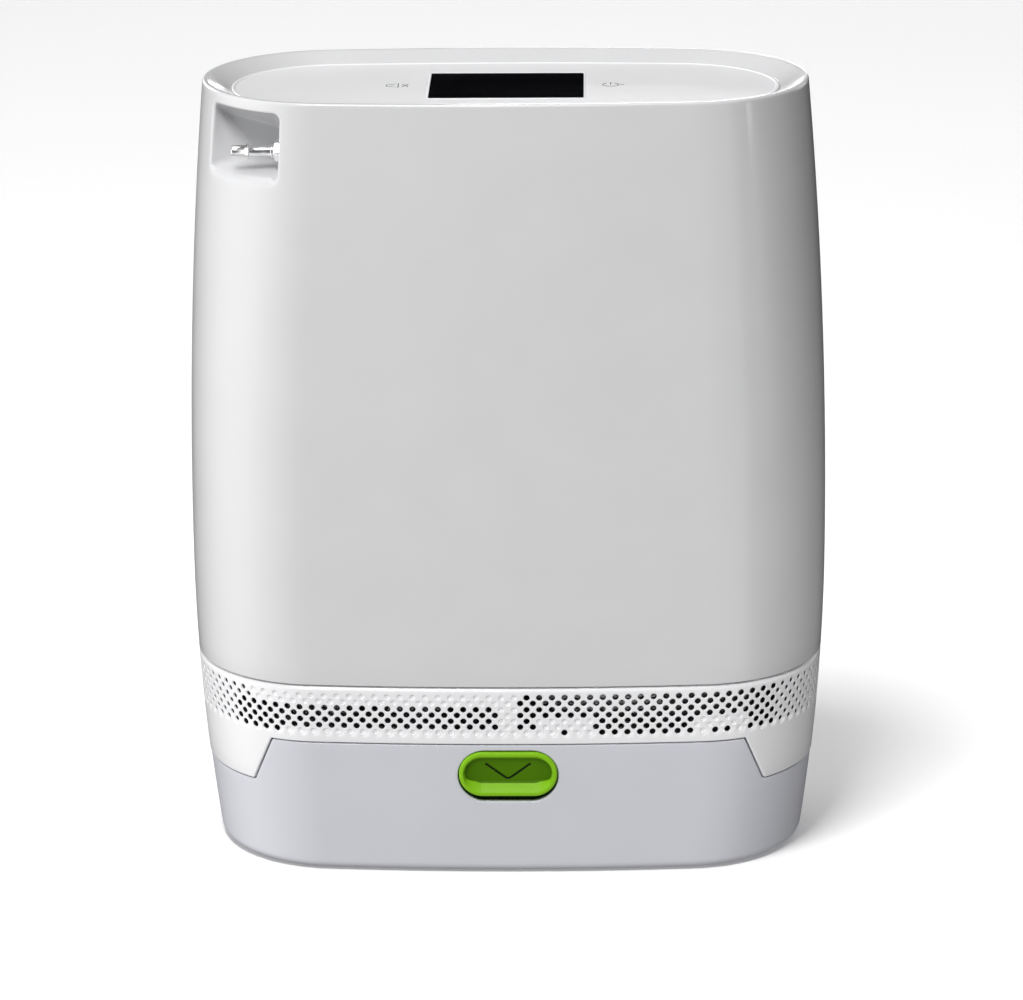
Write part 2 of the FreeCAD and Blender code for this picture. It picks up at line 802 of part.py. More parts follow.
def latch_catch():
    """The sprung catch plate that hangs from the lower housing into the battery."""
    floor = "battery_seam + seam_gap / 2 + wall"
    y = "-keeper_front + keeper_thickness / 2"
    hook = box("catch_plate", "2 * keeper_half_width", "keeper_thickness",
               f"{floor} + keeper_gap / 2 - keeper_bottom", "0", y, "keeper_bottom")
    foot = box("catch_foot", "2 * keeper_half_width", "keeper_foot", "keeper_thickness / 2", "0",
               "-keeper_front + keeper_foot / 2", f"{floor} + keeper_gap / 4")
    window = box("catch_window", "2 * bolt_half_width + 2 * bolt_play", "2 * keeper_thickness",
                 "keeper_window_top - keeper_window_bottom", "0", y, "keeper_window_bottom")
    return sub_part(cut("catch_body", fuse("catch_solid", hook, foot), window), "latch_catch")


def housing_screws():
    screws = []
    for side in (LEFT, RIGHT):
        for end in (LEFT, RIGHT):
            tag = f"housing_{'lr'[side > 0]}{'fb'[end > 0]}"
            x, y = f"{side} * housing_screw_x", f"{end} * housing_screw_y"
            head = cylinder(tag + "_head", "screw_head_radius", "screw_head_height", x, y,
                            "housing_head_z - screw_head_height - panel_gap / 3")
            shank = cylinder(tag + "_shank", "screw_radius", "housing_screw_length", x, y,
                             "housing_head_z - screw_head_height")
            drive = cylinder(tag + "_drive", "screw_radius * 0.7", "screw_head_height / 2", x, y,
                             "housing_head_z - screw_head_height - panel_gap")
            screws.append(cut(tag, fuse(tag + "_solid", head, shank), drive))
    return sub_part(group("housing_screw_group", screws), "housing_screws")


# ---------------------------------------------------------------- battery
def battery_case():
    low = under_seam("case_cut", "-seam_gap / 2")
    outside = common("case_outside", common("case_block", outer_form,
                                            slab("case_zone", "case_bottom", "housing_seam")), low)
    inside = common("case_inside", inner_form,
                    slab("case_room", "case_bottom + wall", "housing_seam"))
    doc.recompute()
    rounded = doc.addObject("Part::Fillet", "case_rounded")
    rounded.Base = outside
    rounded.Edges = [(index, size("edge_round"), size("edge_round"))
                     for index, edge in enumerate(outside.Shape.Edges, 1)
                     if edge.BoundBox.ZMax < size("case_bottom") + TOLERANCE]
    slot = stadium("button_slot", "slot_half_width + panel_gap", "slot_bottom",
                   "slot_top", "waist_half_depth + wall", "button_back - wall")
    feet = [cylinder(f"foot_pit_{side}_{end}".replace("-", "m"), "foot_radius + panel_gap",
                     "foot_height", f"{side} * foot_x", f"{end} * foot_y", "0")
            for side in (LEFT, RIGHT) for end in (LEFT, RIGHT)]
    screw_ways = []
    for side in (LEFT, RIGHT):
        for end in (LEFT, RIGHT):
            tag = f"case_{'lr'[side > 0]}{'fb'[end > 0]}"
            x, y = f"{side} * battery_screw_x", f"{end} * battery_screw_y"
            screw_ways.append(cylinder(tag + "_hole", "screw_hole_radius", "4 * wall", x, y, "0"))
            screw_ways.append(cylinder(tag + "_sink", "screw_head_radius + panel_gap",
                                       "case_bottom + wall / 2", x, y, "0"))
    item = cut("case_shell", rounded, inside, slot, *feet, *screw_ways)
    return sub_part(item, "battery_case")


def battery_cover():
    sheet_top = common("cover_block", liner_form, under_seam("cover_top", "-seam_gap / 2"))
    plate = cut("cover_plate", sheet_top, under_seam("cover_under", "-seam_gap / 2 - wall"))
    post_foot = "case_bottom + wall + liner_gap"
    posts = []
    for side in (LEFT, RIGHT):
        for end in (LEFT, RIGHT):
            tag = f"cover_post_{'lr'[side > 0]}{'fb'[end > 0]}"
            posts.append(cylinder(tag, "post_radius",
                                  f"ear_bottom - seam_gap / 2 - wall / 2 - ({post_foot})",
                                  f"{side} * battery_screw_x", f"{end} * battery_screw_y",
                                  post_foot))
    holes = [cylinder(f"cover_hole_{side}_{end}".replace("-", "m"), "screw_hole_radius",
                      "ear_bottom / 2", f"{side} * battery_screw_x", f"{end} * battery_screw_y", "0")
             for side in (LEFT, RIGHT) for end in (LEFT, RIGHT)]
    keeper_slot = box("keeper_slot", "2 * keeper_half_width + 3 * keeper_gap",
                      "keeper_thickness + 3 * keeper_gap",
                      "4 * wall", "0", "-keeper_front + keeper_thickness / 2",
                      "battery_seam - 2 * wall")
    plug_slot = box("plug_slot", "plug_width - 2 * blade_thickness + panel_gap",
                    "blade_depth + 4 * panel_gap", "4 * wall", "0", "plug_y",
                    "battery_seam - 2 * wall")
    button_room = stadium("button_room", "slot_half_width + panel_gap", "slot_bottom",
                          "slot_top", "waist_half_depth + wall", "button_back - wall / 4")
    item = cut("cover_body", fuse("cover_solid", plate, *posts), keeper_slot, plug_slot,
               button_room, *holes)
    return sub_part(item, "battery_cover")


def cell_lines():
    """The axis of every cell: its tag, x and z."""
    middle = (CELL_ROWS - 1) / 2
    return [(f"{line}_{layer}", f"cell_pitch * ({line - middle})",
             f"cell_bottom + cell_radius + cell_pitch * {layer}")
            for line in range(CELL_ROWS) for layer in range(CELL_LAYERS)]


def battery_inside():
    """Sixteen cells that lie front to back, held by two frames, with their board."""
    cells = [cylinder(f"cell_{tag}", "cell_radius", "cell_length", x, "-cell_front", z, "Y")
             for tag, x, z in cell_lines()]
    sub_part(group("cell_group", cells), "battery_cells")
    holes = [cylinder(f"holder_hole_{tag}", "holder_radius", "3 * waist_half_depth", x,
                      "-1.5 * waist_half_depth", z, "Y") for tag, x, z in cell_lines()]
    blanks = [box(f"holder_{name}", f"cell_pitch * {CELL_ROWS}", "holder_thickness",
                  f"cell_pitch * {CELL_LAYERS} - holder_trim", "0", y,
                  "cell_bottom + holder_trim / 2")
              for name, y in (("front", "holder_inset - cell_front"),
                              ("rear", "cell_length - cell_front - holder_inset"))]
    sub_part(cut("holder_pair", fuse("holder_blanks", *blanks), *holes), "cell_holders")
    board = box("protection_board", "board_thickness", "battery_board_length",
                "battery_board_height", "-battery_board_x", "0", "battery_board_bottom")
    return sub_part(board, "battery_board")


def battery_plug():
    """The connector block under the cover, with blades that stand up through it."""
    block = box("plug_block", "plug_width", "plug_depth",
                "battery_seam - seam_gap / 2 - wall - panel_gap - plug_bottom",
                "0", "plug_y", "plug_bottom")
    blades = [box(f"blade_{index}", "blade_thickness", "blade_depth",
                  "battery_seam + blade_height - plug_bottom",
                  f"blade_pitch * ({index} - {(BLADES - 1) / 2})", "plug_y", "plug_bottom")
              for index in range(BLADES)]
    return sub_part(fuse("plug_body", block, *blades), "battery_plug")


def battery_socket():
    """The mating block in the lower housing, slotted for the blades."""
    bottom = "battery_seam + seam_gap / 2 + panel_gap"
    block = box("socket_block", "plug_width", "plug_depth", f"socket_top - ({bottom})",
                "0", "plug_y", bottom)
    slots = [box(f"blade_slot_{index}", "blade_thickness + 2 * blade_gap",
                 "blade_depth + 2 * blade_gap", "2 * blade_height",
                 f"blade_pitch * ({index} - {(BLADES - 1) / 2})", "plug_y",
                 "battery_seam - blade_height / 2")
             for index in range(BLADES)]
    return sub_part(cut("socket_body", block, *slots), "battery_socket")


def battery_fixings():
    feet = [cylinder(f"foot_{side}_{end}".replace("-", "m"), "foot_radius", "foot_height - fit_gap",
                     f"{side} * foot_x", f"{end} * foot_y", "0")
            for side in (LEFT, RIGHT) for end in (LEFT, RIGHT)]
    sub_part(group("foot_group", feet), "battery_feet")
    screws = []
    for side in (LEFT, RIGHT):
        for end in (LEFT, RIGHT):
            tag = f"battery_{'lr'[side > 0]}{'fb'[end > 0]}"
            x, y = f"{side} * battery_screw_x", f"{end} * battery_screw_y"
            head = cylinder(tag + "_head", "screw_head_radius", "wall / 2 - panel_gap", x, y,
                            "case_bottom + panel_gap / 2")
            shank = cylinder(tag + "_shank", "screw_radius", "ear_bottom / 3", x, y,
                             "case_bottom + panel_gap / 2")
            screws.append(fuse(tag, head, shank))
    sub_part(group("battery_screw_group", screws), "battery_screws")


# ---------------------------------------------------------------- battery latch
def latch_button():
    cap = stadium("button_cap", "button_half_width", "button_bottom", "button_top",
                  "button_front", "button_back - flange_thickness / 2")
    well = stadium("button_well_cut", "button_half_width - button_rim",
                   "button_bottom + button_rim", "button_top - button_rim",
                   "waist_half_depth + wall", "button_front - button_well")
    flange = box("button_flange", "2 * flange_half_width", "flange_thickness",
                 "flange_top - flange_bottom", "0",
                 "-button_back + flange_setback + flange_thickness / 2", "flange_bottom")
    stem = box("button_stem", "stem_width", "stem_front - stem_back", "stem_top - stem_bottom",
               "0", "-(stem_front + stem_back) / 2", "stem_bottom")
    return sub_part(fuse("button_body", cut("button_face", cap, well), flange, stem), "latch_button")


def latch_bolt():
    bar = box("bolt_bar", "2 * bolt_half_width", "bolt_tip - bolt_back", "bolt_top - bolt_bottom",
              "0", "-(bolt_tip + bolt_back) / 2", "bolt_bottom")
    nose = doc.addObject("Part::Chamfer", "bolt_nose")
    nose.Base = bar
    doc.recompute()
    tip_y = -size("bolt_tip") + TOLERANCE
    nose.Edges = [(index, size("bolt_chamfer"), size("bolt_chamfer"))
                  for index, edge in enumerate(bar.Shape.Edges, 1)
                  if edge.BoundBox.YMax < tip_y and edge.BoundBox.ZMin > size("bolt_top") - TOLERANCE]
    return sub_part(nose, "latch_bolt")


def latch_frame():
    depth = "latch_frame_front - latch_frame_back"
    middle = "-(latch_frame_front + latch_frame_back) / 2"
    base = box("frame_base", "2 * latch_frame_half_width", f"{depth} + latch_frame_foot",
               "latch_frame_wall", "0", f"{middle} - latch_frame_foot / 2", "latch_frame_base")
    inner = "(bolt_half_width + bolt_play)"
    cheeks = [box(f"frame_cheek_{'lr'[side > 0]}", f"latch_frame_half_width - {inner}",
                  depth, "latch_frame_top - latch_frame_base",
                  f"{side} * (latch_frame_half_width + {inner}) / 2", middle,
                  "latch_frame_base")
              for side in (LEFT, RIGHT)]
    back = box("frame_back", "2 * latch_frame_half_width", "latch_frame_wall / 2",
               "latch_frame_back_top - latch_frame_base", "0", "-latch_frame_back", "latch_frame_base")
    return sub_part(fuse("frame_body", base, *cheeks, back), "latch_frame")


def coil(name, radius, wire, pitch, height, x, y, z):
    """A round wire wound into a helix."""
    path = doc.addObject("Part::Helix", name + "_path")
    bind(path, Radius=radius, Pitch=pitch, Height=height)
    section = doc.addObject("Part::Circle", name + "_section")
    section.Placement = FreeCAD.Placement(V(0, 0, 0), FreeCAD.Rotation(V(1, 0, 0), 90))
    bind(section, Radius=wire)
    section.setExpression("Placement.Base.x", linked(radius))
    doc.recompute()
    item = doc.addObject("Part::Sweep", name)
    item.Sections = [section]
    item.Spine = (path, ["Edge" + str(index + 1) for index in range(len(path.Shape.Edges))])
    item.Solid = True
    item.Frenet = True
    return place(item, x, y, z)


def latch_spring():
    bottom = "latch_frame_base + latch_frame_wall + spring_wire + 2 * fit_gap"
    item = coil("return_spring", "spring_radius", "spring_wire", "spring_pitch",
                f"stem_bottom - spring_wire - 3 * fit_gap - ({bottom})", "0", "-spring_y", bottom)
    return sub_part(item, "latch_spring")


# ---------------------------------------------------------------- chassis and compressor
def chassis():
    plate = box("chassis_sheet", "chassis_length", "chassis_depth", "chassis_thickness",
                "0", "0", "chassis_bottom")
    plug_room = box("chassis_plug_room", "plug_width + 2 * plug_play",
                    "plug_depth + 2 * plug_play",
                    "3 * chassis_thickness", "0", "plug_y", "chassis_bottom - chassis_thickness")
    sub_part(cut("chassis_body", plate, plug_room), "chassis_plate")
    mounts = []
    for side in (LEFT, RIGHT):
        for y in ("isolator_front_y", "isolator_rear_y"):
            mounts.append(cylinder(f"isolator_{'lr'[side > 0]}_{y.split('_')[1]}",
                                   "isolator_radius", "isolator_height - 2 * fit_gap",
                                   f"crank_x + {side} * isolator_step_x", y,
                                   "chassis_bottom + chassis_thickness + fit_gap"))
    sub_part(group("isolator_group", mounts), "compressor_isolators")


def crankcase():
    bottom = "chassis_bottom + chassis_thickness + isolator_height"
    depth = "crankcase_back - crankcase_front"
    block = box("crank_block", "crankcase_width", depth, f"crankcase_top - ({bottom})",
                "crank_x", "(crankcase_back + crankcase_front) / 2", bottom)
    room = cylinder("crank_room", "crank_space_radius", f"{depth} - crankcase_wall", "crank_x",
                    "crankcase_front", "crank_z", "Y")
    bores = [cylinder(f"crank_bore_{name}", "bore_radius + panel_gap", "crankcase_width / 2",
                      f"crank_x - {shift} * crankcase_width / 2", y, "crank_z", "X")
             for name, y, shift in (("left", "left_bore_y", 1), ("right", "right_bore_y", 0))]
    shaft_way = cylinder("crank_shaft_way", "bearing_radius + eccentric_bore_gap", "4 * crankcase_wall",
                         "crank_x", "crankcase_back - crankcase_wall * 2", "crank_z", "Y")
    sub_part(cut("crankcase_body", block, room, *bores, shaft_way), "compressor_crankcase")
    lid = box("crank_lid", "crankcase_width", "cover_thickness - fit_gap",
              f"crankcase_top - ({bottom}) - 2 * cover_inset", "crank_x",
              "crankcase_front - cover_thickness / 2", f"{bottom} + cover_inset")
    boss = cylinder("crank_lid_boss", "bearing_radius", "cover_thickness / 2", "crank_x",
                    "crankcase_front - boss_setback", "crank_z", "Y")
    sub_part(fuse("crank_lid_body", lid, boss), "crankcase_cover")


def cylinders():
    """Two opposed cylinders, each a bore tube with a finned head."""
    tubes = []
    heads = []
    for name, side, y in (("left", LEFT, "left_bore_y"), ("right", RIGHT, "right_bore_y")):
        face = f"crank_x + {side} * (crankcase_width / 2 + fit_gap)"
        start = f"{face} - cylinder_length" if side < 0 else face
        tubes.append(ring(f"{name}_tube", "cylinder_radius", "bore_radius", "cylinder_length",
                          start, y, "crank_z", "X"))
        head_start = f"crank_x + {side} * (crankcase_width / 2 + cylinder_length + 2 * fit_gap)"
        centre = f"{head_start} + {side} * head_thickness / 2"
        block = box(f"{name}_head_block", "head_thickness", "head_size", "head_size", centre, y,
                    "crank_z - head_size / 2")
        chamber = cylinder(f"{name}_head_chamber", "head_chamber", "head_thickness / 2",
                           head_start if side > 0 else f"{head_start} - head_thickness / 2", y,
                           "crank_z", "X")
        slots = [box(f"{name}_head_slot_{index}", "head_thickness / 2", "head_size + wall",
                     "head_slot", f"{head_start} + {side} * head_thickness", y,
                     f"crank_z - head_size / 2 + head_slot_first + head_slot_pitch * {index}")
                 for index in range(HEAD_SLOTS)]
        heads.append(cut(f"{name}_head_body", block, chamber, *slots))
    sub_part(group("cylinder_pair", tubes), "compressor_cylinders")
    return sub_part(group("head_pair", heads), "cylinder_heads")


def crank_train():
    length = "shaft_back - shaft_front"
    sub_part(cylinder("shaft", "shaft_radius", length, "crank_x", "shaft_front", "crank_z", "Y"),
             "crankshaft")
    cams = []
    for name, side, y in (("left", LEFT, "left_bore_y"), ("right", RIGHT, "right_bore_y")):
        cams.append(cylinder(f"cam_{name}", "eccentric_radius", "eccentric_width",
                             f"crank_x + {side} * throw", f"{y} - eccentric_width / 2",
                             "crank_z", "Y"))
    bridge = cylinder("cam_bridge", "cam_bridge_radius", "right_bore_y - left_bore_y", "crank_x",
                      "left_bore_y", "crank_z", "Y")
    way = cylinder("cam_way", "shaft_radius + eccentric_bore_gap", length, "crank_x",
                   "shaft_front", "crank_z", "Y")
    sub_part(cut("cams", fuse("cam_solid", *cams, bridge), way), "eccentrics")
    sub_part(ring("magnet_ring", "magnet_radius", "shaft_radius + eccentric_bore_gap",
                  "magnet_length", "crank_x",
                  "crankcase_back + (motor_length - magnet_length) / 2 - magnet_shift", "crank_z", "Y"),
             "rotor_magnet")
    rings = [ring(f"bearing_{name}", "bearing_radius - eccentric_bore_gap",
                  "shaft_radius + shaft_clearance", "bearing_width", "crank_x", y, "crank_z", "Y")
             for name, y in (("front", "crankcase_back - crankcase_wall"),
                             ("rear", "crankcase_back + motor_length - bearing_width - motor_wall"))]
    sub_part(group("bearing_group", rings), "shaft_bearings")


def rods():
    """Wobble rods: big-end ring, arm and piston head in one."""
    for name, side, y in (("left", LEFT, "left_bore_y"), ("right", RIGHT, "right_bore_y")):
        centre = f"crank_x + {side} * throw"
        ring_outer = cylinder(f"{name}_big_end", "rod_ring_radius",
                              "eccentric_width - 2 * rod_side_gap", centre,
                              f"{y} - eccentric_width / 2 + rod_side_gap", "crank_z", "Y")
        bearing = cylinder(f"{name}_big_end_bore", "eccentric_radius + shaft_clearance",
                           "2 * eccentric_width", centre, f"{y} - eccentric_width", "crank_z", "Y")
        arm = box(f"{name}_arm", "rod_reach - piston_thickness / 2", "eccentric_width - 2 * rod_side_gap",
                  "rod_height", f"{centre} + {side} * (rod_reach / 2 - piston_thickness / 4)", y,
                  "crank_z - rod_height / 2")
        reach = "rod_reach" if side < 0 else "(piston_thickness - rod_reach)"
        head = cylinder(f"{name}_piston", "piston_radius", "piston_thickness",
                        f"{centre} - {reach}", y, "crank_z", "X")
        body = fuse(f"{name}_rod_solid", ring_outer, arm, head)
        sub_part(cut(f"{name}_rod_body", body, bearing), f"{name}_piston_rod")


def motor():
    can = cylinder("motor_can_outer", "motor_radius", "motor_length", "crank_x",
                   "crankcase_back + fit_gap", "crank_z", "Y")
    room = cylinder("motor_can_room", "motor_radius - motor_wall", "motor_length - motor_wall",
                    "crank_x", "crankcase_back", "crank_z", "Y")
    sub_part(cut("motor_can_body", can, room), "motor_can")
    core = ring("stator_core", "stator_radius", "stator_bore", "stator_length", "crank_x",
                "crankcase_back + (motor_length - stator_length) / 2 - motor_wall", "crank_z", "Y")
    sub_part(core, "motor_stator")


# ---------------------------------------------------------------- fan and coil
def fan():
    block = box("fan_block", "fan_size", "fan_size", "fan_height", "crank_x", "fan_y", "fan_bottom")
    way = cylinder("fan_way", "fan_bore", "2 * fan_height", "crank_x", "fan_y",
                   "fan_bottom - fan_height / 2")
    spokes = [box(f"fan_spoke_{index}", width, depth, "fan_spoke_height", "crank_x", "fan_y",
                  "fan_bottom")
              for index, (width, depth) in enumerate((("fan_size - fan_spoke_trim", "fan_spoke_width"),
                                                      ("fan_spoke_width", "fan_size - fan_spoke_trim")))]
    post = cylinder("fan_post", "fan_spindle - shaft_clearance", "fan_post_height", "crank_x",
                    "fan_y", "fan_bottom")
    sub_part(fuse("fan_frame_body", cut("fan_duct", block, way), *spokes, post), "fan_frame")
    bottom = "fan_bottom + fan_spoke_height + fan_rotor_gap"
    hub = ring("fan_hub_ring", "fan_hub", "fan_spindle", "fan_blade_height", "crank_x", "fan_y",
               bottom)
    blades = []
    pitch = FreeCAD.Rotation(V(1, 0, 0), size("fan_blade_angle"))
    for index in range(FAN_BLADES):
        blade = doc.addObject("Part::Box", f"fan_blade_{index}")
        bind(blade, Length="fan_tip - fan_hub + fan_blade_root", Width="fan_blade_height",
             Height="fan_blade_thickness")
        turn = FreeCAD.Rotation(V(0, 0, 1), 360.0 / FAN_BLADES * index)
        centre = V(size("crank_x"), size("fan_y"), solve(bottom) + size("fan_blade_lift"))
        offset = V(size("fan_hub") - size("fan_blade_root"), -size("fan_blade_shift"), 0)
        blade.Placement = FreeCAD.Placement(centre + turn.multVec(offset), turn.multiply(pitch))
        blades.append(blade)
    return sub_part(fuse("fan_wheel", hub, *blades), "fan_rotor")


def cooling_coil():
    item = coil("cooler_pipe", "coil_radius", "coil_pipe", "coil_pitch", "coil_height",
                "crank_x", "coil_y", "coil_bottom")
    return sub_part(item, "cooling_coil")


# ---------------------------------------------------------------- sieve columns and valves
def sieve_columns():
    length = "sieve_top - sieve_bottom - 4 * fit_gap"
    tubes = [ring(f"column_{tag}", "sieve_radius", "sieve_radius - sieve_wall", length,
                  "sieve_x", f"{end} * sieve_y", "sieve_bottom + 2 * fit_gap")
             for tag, end in (("front", LEFT), ("rear", RIGHT))]
    beds = [cylinder(f"charge_{tag}", "sieve_radius - sieve_wall - fit_gap",
                     f"{length} - 2 * sieve_cap_lip", "sieve_x", f"{end} * sieve_y",
                     "sieve_bottom + 2 * fit_gap + sieve_cap_lip")
            for tag, end in (("front", LEFT), ("rear", RIGHT))]
    sub_part(group("column_pair", tubes), "sieve_columns")
    sub_part(group("charge_pair", beds), "sieve_beds")
    caps = [cylinder(f"top_cap_{end}".replace("-", "m"), "sieve_radius + sieve_cap_lip",
                     "sieve_cap_height", "sieve_x", f"{end} * sieve_y", "sieve_top")
            for end in (LEFT, RIGHT)]
    bridge = box("top_cap_bridge", "sieve_radius", "2 * sieve_y", "sieve_cap_height", "sieve_x",
                 "0", "sieve_top")
    way = cylinder("top_cap_way", "hose_bore", "2 * sieve_y", "sieve_x", "-sieve_y",
                   "sieve_top + sieve_cap_height / 2", "Y")
    sub_part(cut("top_cap_body", fuse("top_cap_solid", *caps, bridge), way), "sieve_top_cap")


def valves():
    block = box("manifold_block", "manifold_width", "manifold_depth",
                "manifold_top - manifold_bottom", "manifold_x", "0", "manifold_bottom")
    face = "manifold_x - manifold_width / 2"
    seats = [cylinder(f"valve_seat_{end}".replace("-", "m"), "valve_bore", "valve_seat_depth",
                      face, f"{end} * valve_y", "valve_z", "X") for end in (LEFT, RIGHT)]
    ways = [cylinder(f"valve_way_{end}".replace("-", "m"), "hose_bore",
                     "manifold_top - valve_z", "sieve_x", f"{end} * valve_y", "valve_z")
            for end in (LEFT, RIGHT)]
    galleries = [cylinder(f"valve_gallery_{end}".replace("-", "m"), "hose_bore",
                          f"sieve_x - ({face})", face, f"{end} * valve_y", "valve_z", "X")
                 for end in (LEFT, RIGHT)]
    sub_part(cut("manifold_body", block, *seats, *ways, *galleries), "valve_manifold")
    shells = []
    for end in (LEFT, RIGHT):
        tag = f"solenoid_{'fb'[end > 0]}"
        shell = cylinder(tag + "_can", "valve_radius", "valve_length - 2 * fit_gap",
                         f"{face} - valve_length", f"{end} * valve_y", "valve_z", "X")
        bore = cylinder(tag + "_bore", "valve_bore", "valve_length - valve_stop",
                        f"{face} - valve_length + valve_stop", f"{end} * valve_y", "valve_z", "X")
        shells.append(cut(tag, shell, bore))
    sub_part(group("solenoid_group", shells), "valve_solenoids")
    for name, end in (("front", LEFT), ("rear", RIGHT)):
        sub_part(cylinder(f"{name}_plunger", "plunger_radius", "plunger_length",
                          f"{face} - plunger_length + plunger_nose", f"{end} * valve_y", "valve_z", "X"),
                 f"{name}_valve_plunger")


# ---------------------------------------------------------------- gas train
def gas_train():
    shell = cylinder("tank_outer", "tank_radius", "tank_top - tank_bottom", "tank_x", "tank_y",
                     "tank_bottom")
    room = cylinder("tank_room", "tank_radius - tank_wall", "tank_top - tank_bottom - 2 * tank_wall",
                    "tank_x", "tank_y", "tank_bottom + tank_wall")
    port = cylinder("tank_port", "hose_bore", "3 * tank_wall", "tank_x", "tank_y",
                    "tank_top - 2 * tank_wall")
    sub_part(cut("tank_body", shell, room, port), "product_tank")
    silencer = cylinder("silencer_outer", "muffler_radius", "muffler_top - muffler_bottom",
                        "muffler_x", "muffler_y", "muffler_bottom")
    silencer_way = cylinder("silencer_way", "muffler_radius / 3",
                            "muffler_top - muffler_bottom - muffler_end",
                            "muffler_x", "muffler_y", "muffler_bottom")
    sub_part(cut("silencer_body", silencer, silencer_way), "exhaust_muffler")
    sub_part(box("filter_block", "filter_width", "filter_depth", "filter_height", "filter_x", "0",
                 "filter_bottom"), "intake_filter")
    cell = box("sensor_block", "sensor_length", "sensor_depth", "sensor_height", "sensor_x",
               "sensor_y", "sensor_bottom")
    cell_way = cylinder("sensor_way", "hose_bore", "sensor_length",
                        "sensor_x - sensor_length / 2", "sensor_y",
                        "sensor_bottom + sensor_height / 2", "X")
    sub_part(cut("sensor_body", cell, cell_way), "oxygen_sensor")
    valve = box("dose_block", "dose_valve_size", "dose_valve_size", "dose_valve_size",
                "dose_valve_x", "dose_valve_y", "dose_valve_bottom")
    valve_bore = cylinder("dose_bore", "valve_bore", "dose_valve_size - dose_floor", "dose_valve_x",
                          "dose_valve_y", "dose_valve_bottom + dose_floor")
    sub_part(cut("dose_body", valve, valve_bore), "dose_valve_body")
    sub_part(cylinder("dose_pin", "plunger_radius", "plunger_length", "dose_valve_x", "dose_valve_y",
                      "dose_valve_bottom + dose_floor + 2 * fit_gap"), "dose_valve_plunger")


def hose(name, points, bend):
    """A hollow hose along straight runs joined by tangent arcs."""
    corners = [V(*[solve(number) for number in point]) for point in points]
    edges = []
    start = corners[0]
    for before, corner, after in zip(corners, corners[1:], corners[2:]):
        back = (before - corner).normalize()
        ahead = (after - corner).normalize()
        half = math.acos(max(-1.0, min(1.0, back.dot(ahead)))) / 2
        reach = bend / math.tan(half)
        first, last = corner + back * reach, corner + ahead * reach
        bisector = (back + ahead).normalize()
        middle = corner + bisector * (bend / math.sin(half) - bend)
        edges.append(Part.LineSegment(start, first).toShape())
        edges.append(Part.Arc(first, middle, last).toShape())
        start = last
    edges.append(Part.LineSegment(start, corners[-1]).toShape())
    path = Part.Wire(edges)
    heading = (corners[1] - corners[0]).normalize()
    solids = []
    for radius in (size("hose_radius"), size("hose_bore")):
        circle = Part.Wire(Part.Circle(corners[0], heading, radius).toShape())
        solids.append(path.makePipeShell([circle], True, True))
    item = doc.addObject("Part::Feature", name)
    item.Shape = solids[0].cut(solids[1])
    return item


def hoses():
    bend = HOSE_BEND * size("hose_radius")
    tank_to_sensor = hose("tank_hose", [
        ("tank_x", "tank_y", "tank_top + hose_gap"),
        ("tank_x", "tank_y", "tank_top + hose_rise"),
        ("tank_x - hose_shift", "tank_y", "tank_top + hose_rise"),
        ("tank_x - hose_shift", "tank_y", "sensor_bottom + sensor_height / 2"),
        ("sensor_x + sensor_length / 2 + hose_gap", "sensor_y", "sensor_bottom + sensor_height / 2"),
    ], bend)
    port_z = "dose_valve_bottom + dose_port_height"
    turn_x = "dose_valve_x - dose_valve_size / 2 - hose_side"
    valve_to_outlet = hose("outlet_hose", [
        ("dose_valve_x - dose_valve_size / 2 - hose_gap", "dose_valve_y", port_z),
        (turn_x, "dose_valve_y", port_z),
        (turn_x, "-nozzle_y + hose_end_gap", port_z),
    ], bend)
    return sub_part(group("hose_group", [tank_to_sensor, valve_to_outlet]), "gas_hoses")


# ---------------------------------------------------------------- electronics
def main_board():
    depth = "board_thickness"
    sub_part(box("controller_plate", "main_board_length", depth, "main_board_height", "0",
                 "main_board_y", "main_board_bottom"), "main_board")
    back = "main_board_y - board_thickness / 2"
    spacers = []
    for side in (LEFT, RIGHT):
        for end, z in (("low", "main_board_bottom + spacer_inset"),
                       ("high", "main_board_bottom + main_board_height - spacer_inset")):
            spacers.append(cylinder(f"spacer_{end}_{'lr'[side > 0]}", "spacer_radius",
                                    "spacer_length", f"{side} * (main_board_length / 2 - spacer_inset)",
                                    f"{back} - spacer_length - fit_gap", z, "Y"))
    sub_part(group("spacer_group", spacers), "board_spacers")
    sub_part(box("foam_sheet", "foam_width", "foam_depth", "foam_top - foam_bottom", "0",
                 "foam_y + foam_depth / 2", "foam_bottom"), "acoustic_foam")


def power_inlet():
    body = cylinder("inlet_body", "inlet_radius", "inlet_length", "inlet_x",
                    "inlet_mouth - inlet_length", "inlet_z", "Y")
    mouth = cylinder("inlet_mouth_bore", "inlet_bore", "inlet_depth", "inlet_x",
                     "inlet_mouth - inlet_depth", "inlet_z", "Y")
    return sub_part(cut("inlet_shell", body, mouth), "power_inlet")


def check_and_write():
    """Stop if anything failed; otherwise write one STEP file for each sub-part."""
    doc.removeObject(probe.Name)
    doc.recompute()
    failed = [item.Name for item in doc.Objects
              if "Invalid" in item.State or "Error" in item.State]
    for item in sub_parts:
        if item.Shape.isNull() or not item.Shape.isValid() or not item.Shape.Solids:
            failed.append(item.Label)
    if failed:
        raise RuntimeError("failed: " + ", ".join(failed))
    os.makedirs("parts", exist_ok=True)
    for item in sub_parts:
        item.Shape.exportStep(f"parts/{item.Label}.step")
        print(f"{item.Label:24s} {len(item.Shape.Solids):3d} solids {item.Shape.Volume:12.1f} mm3")


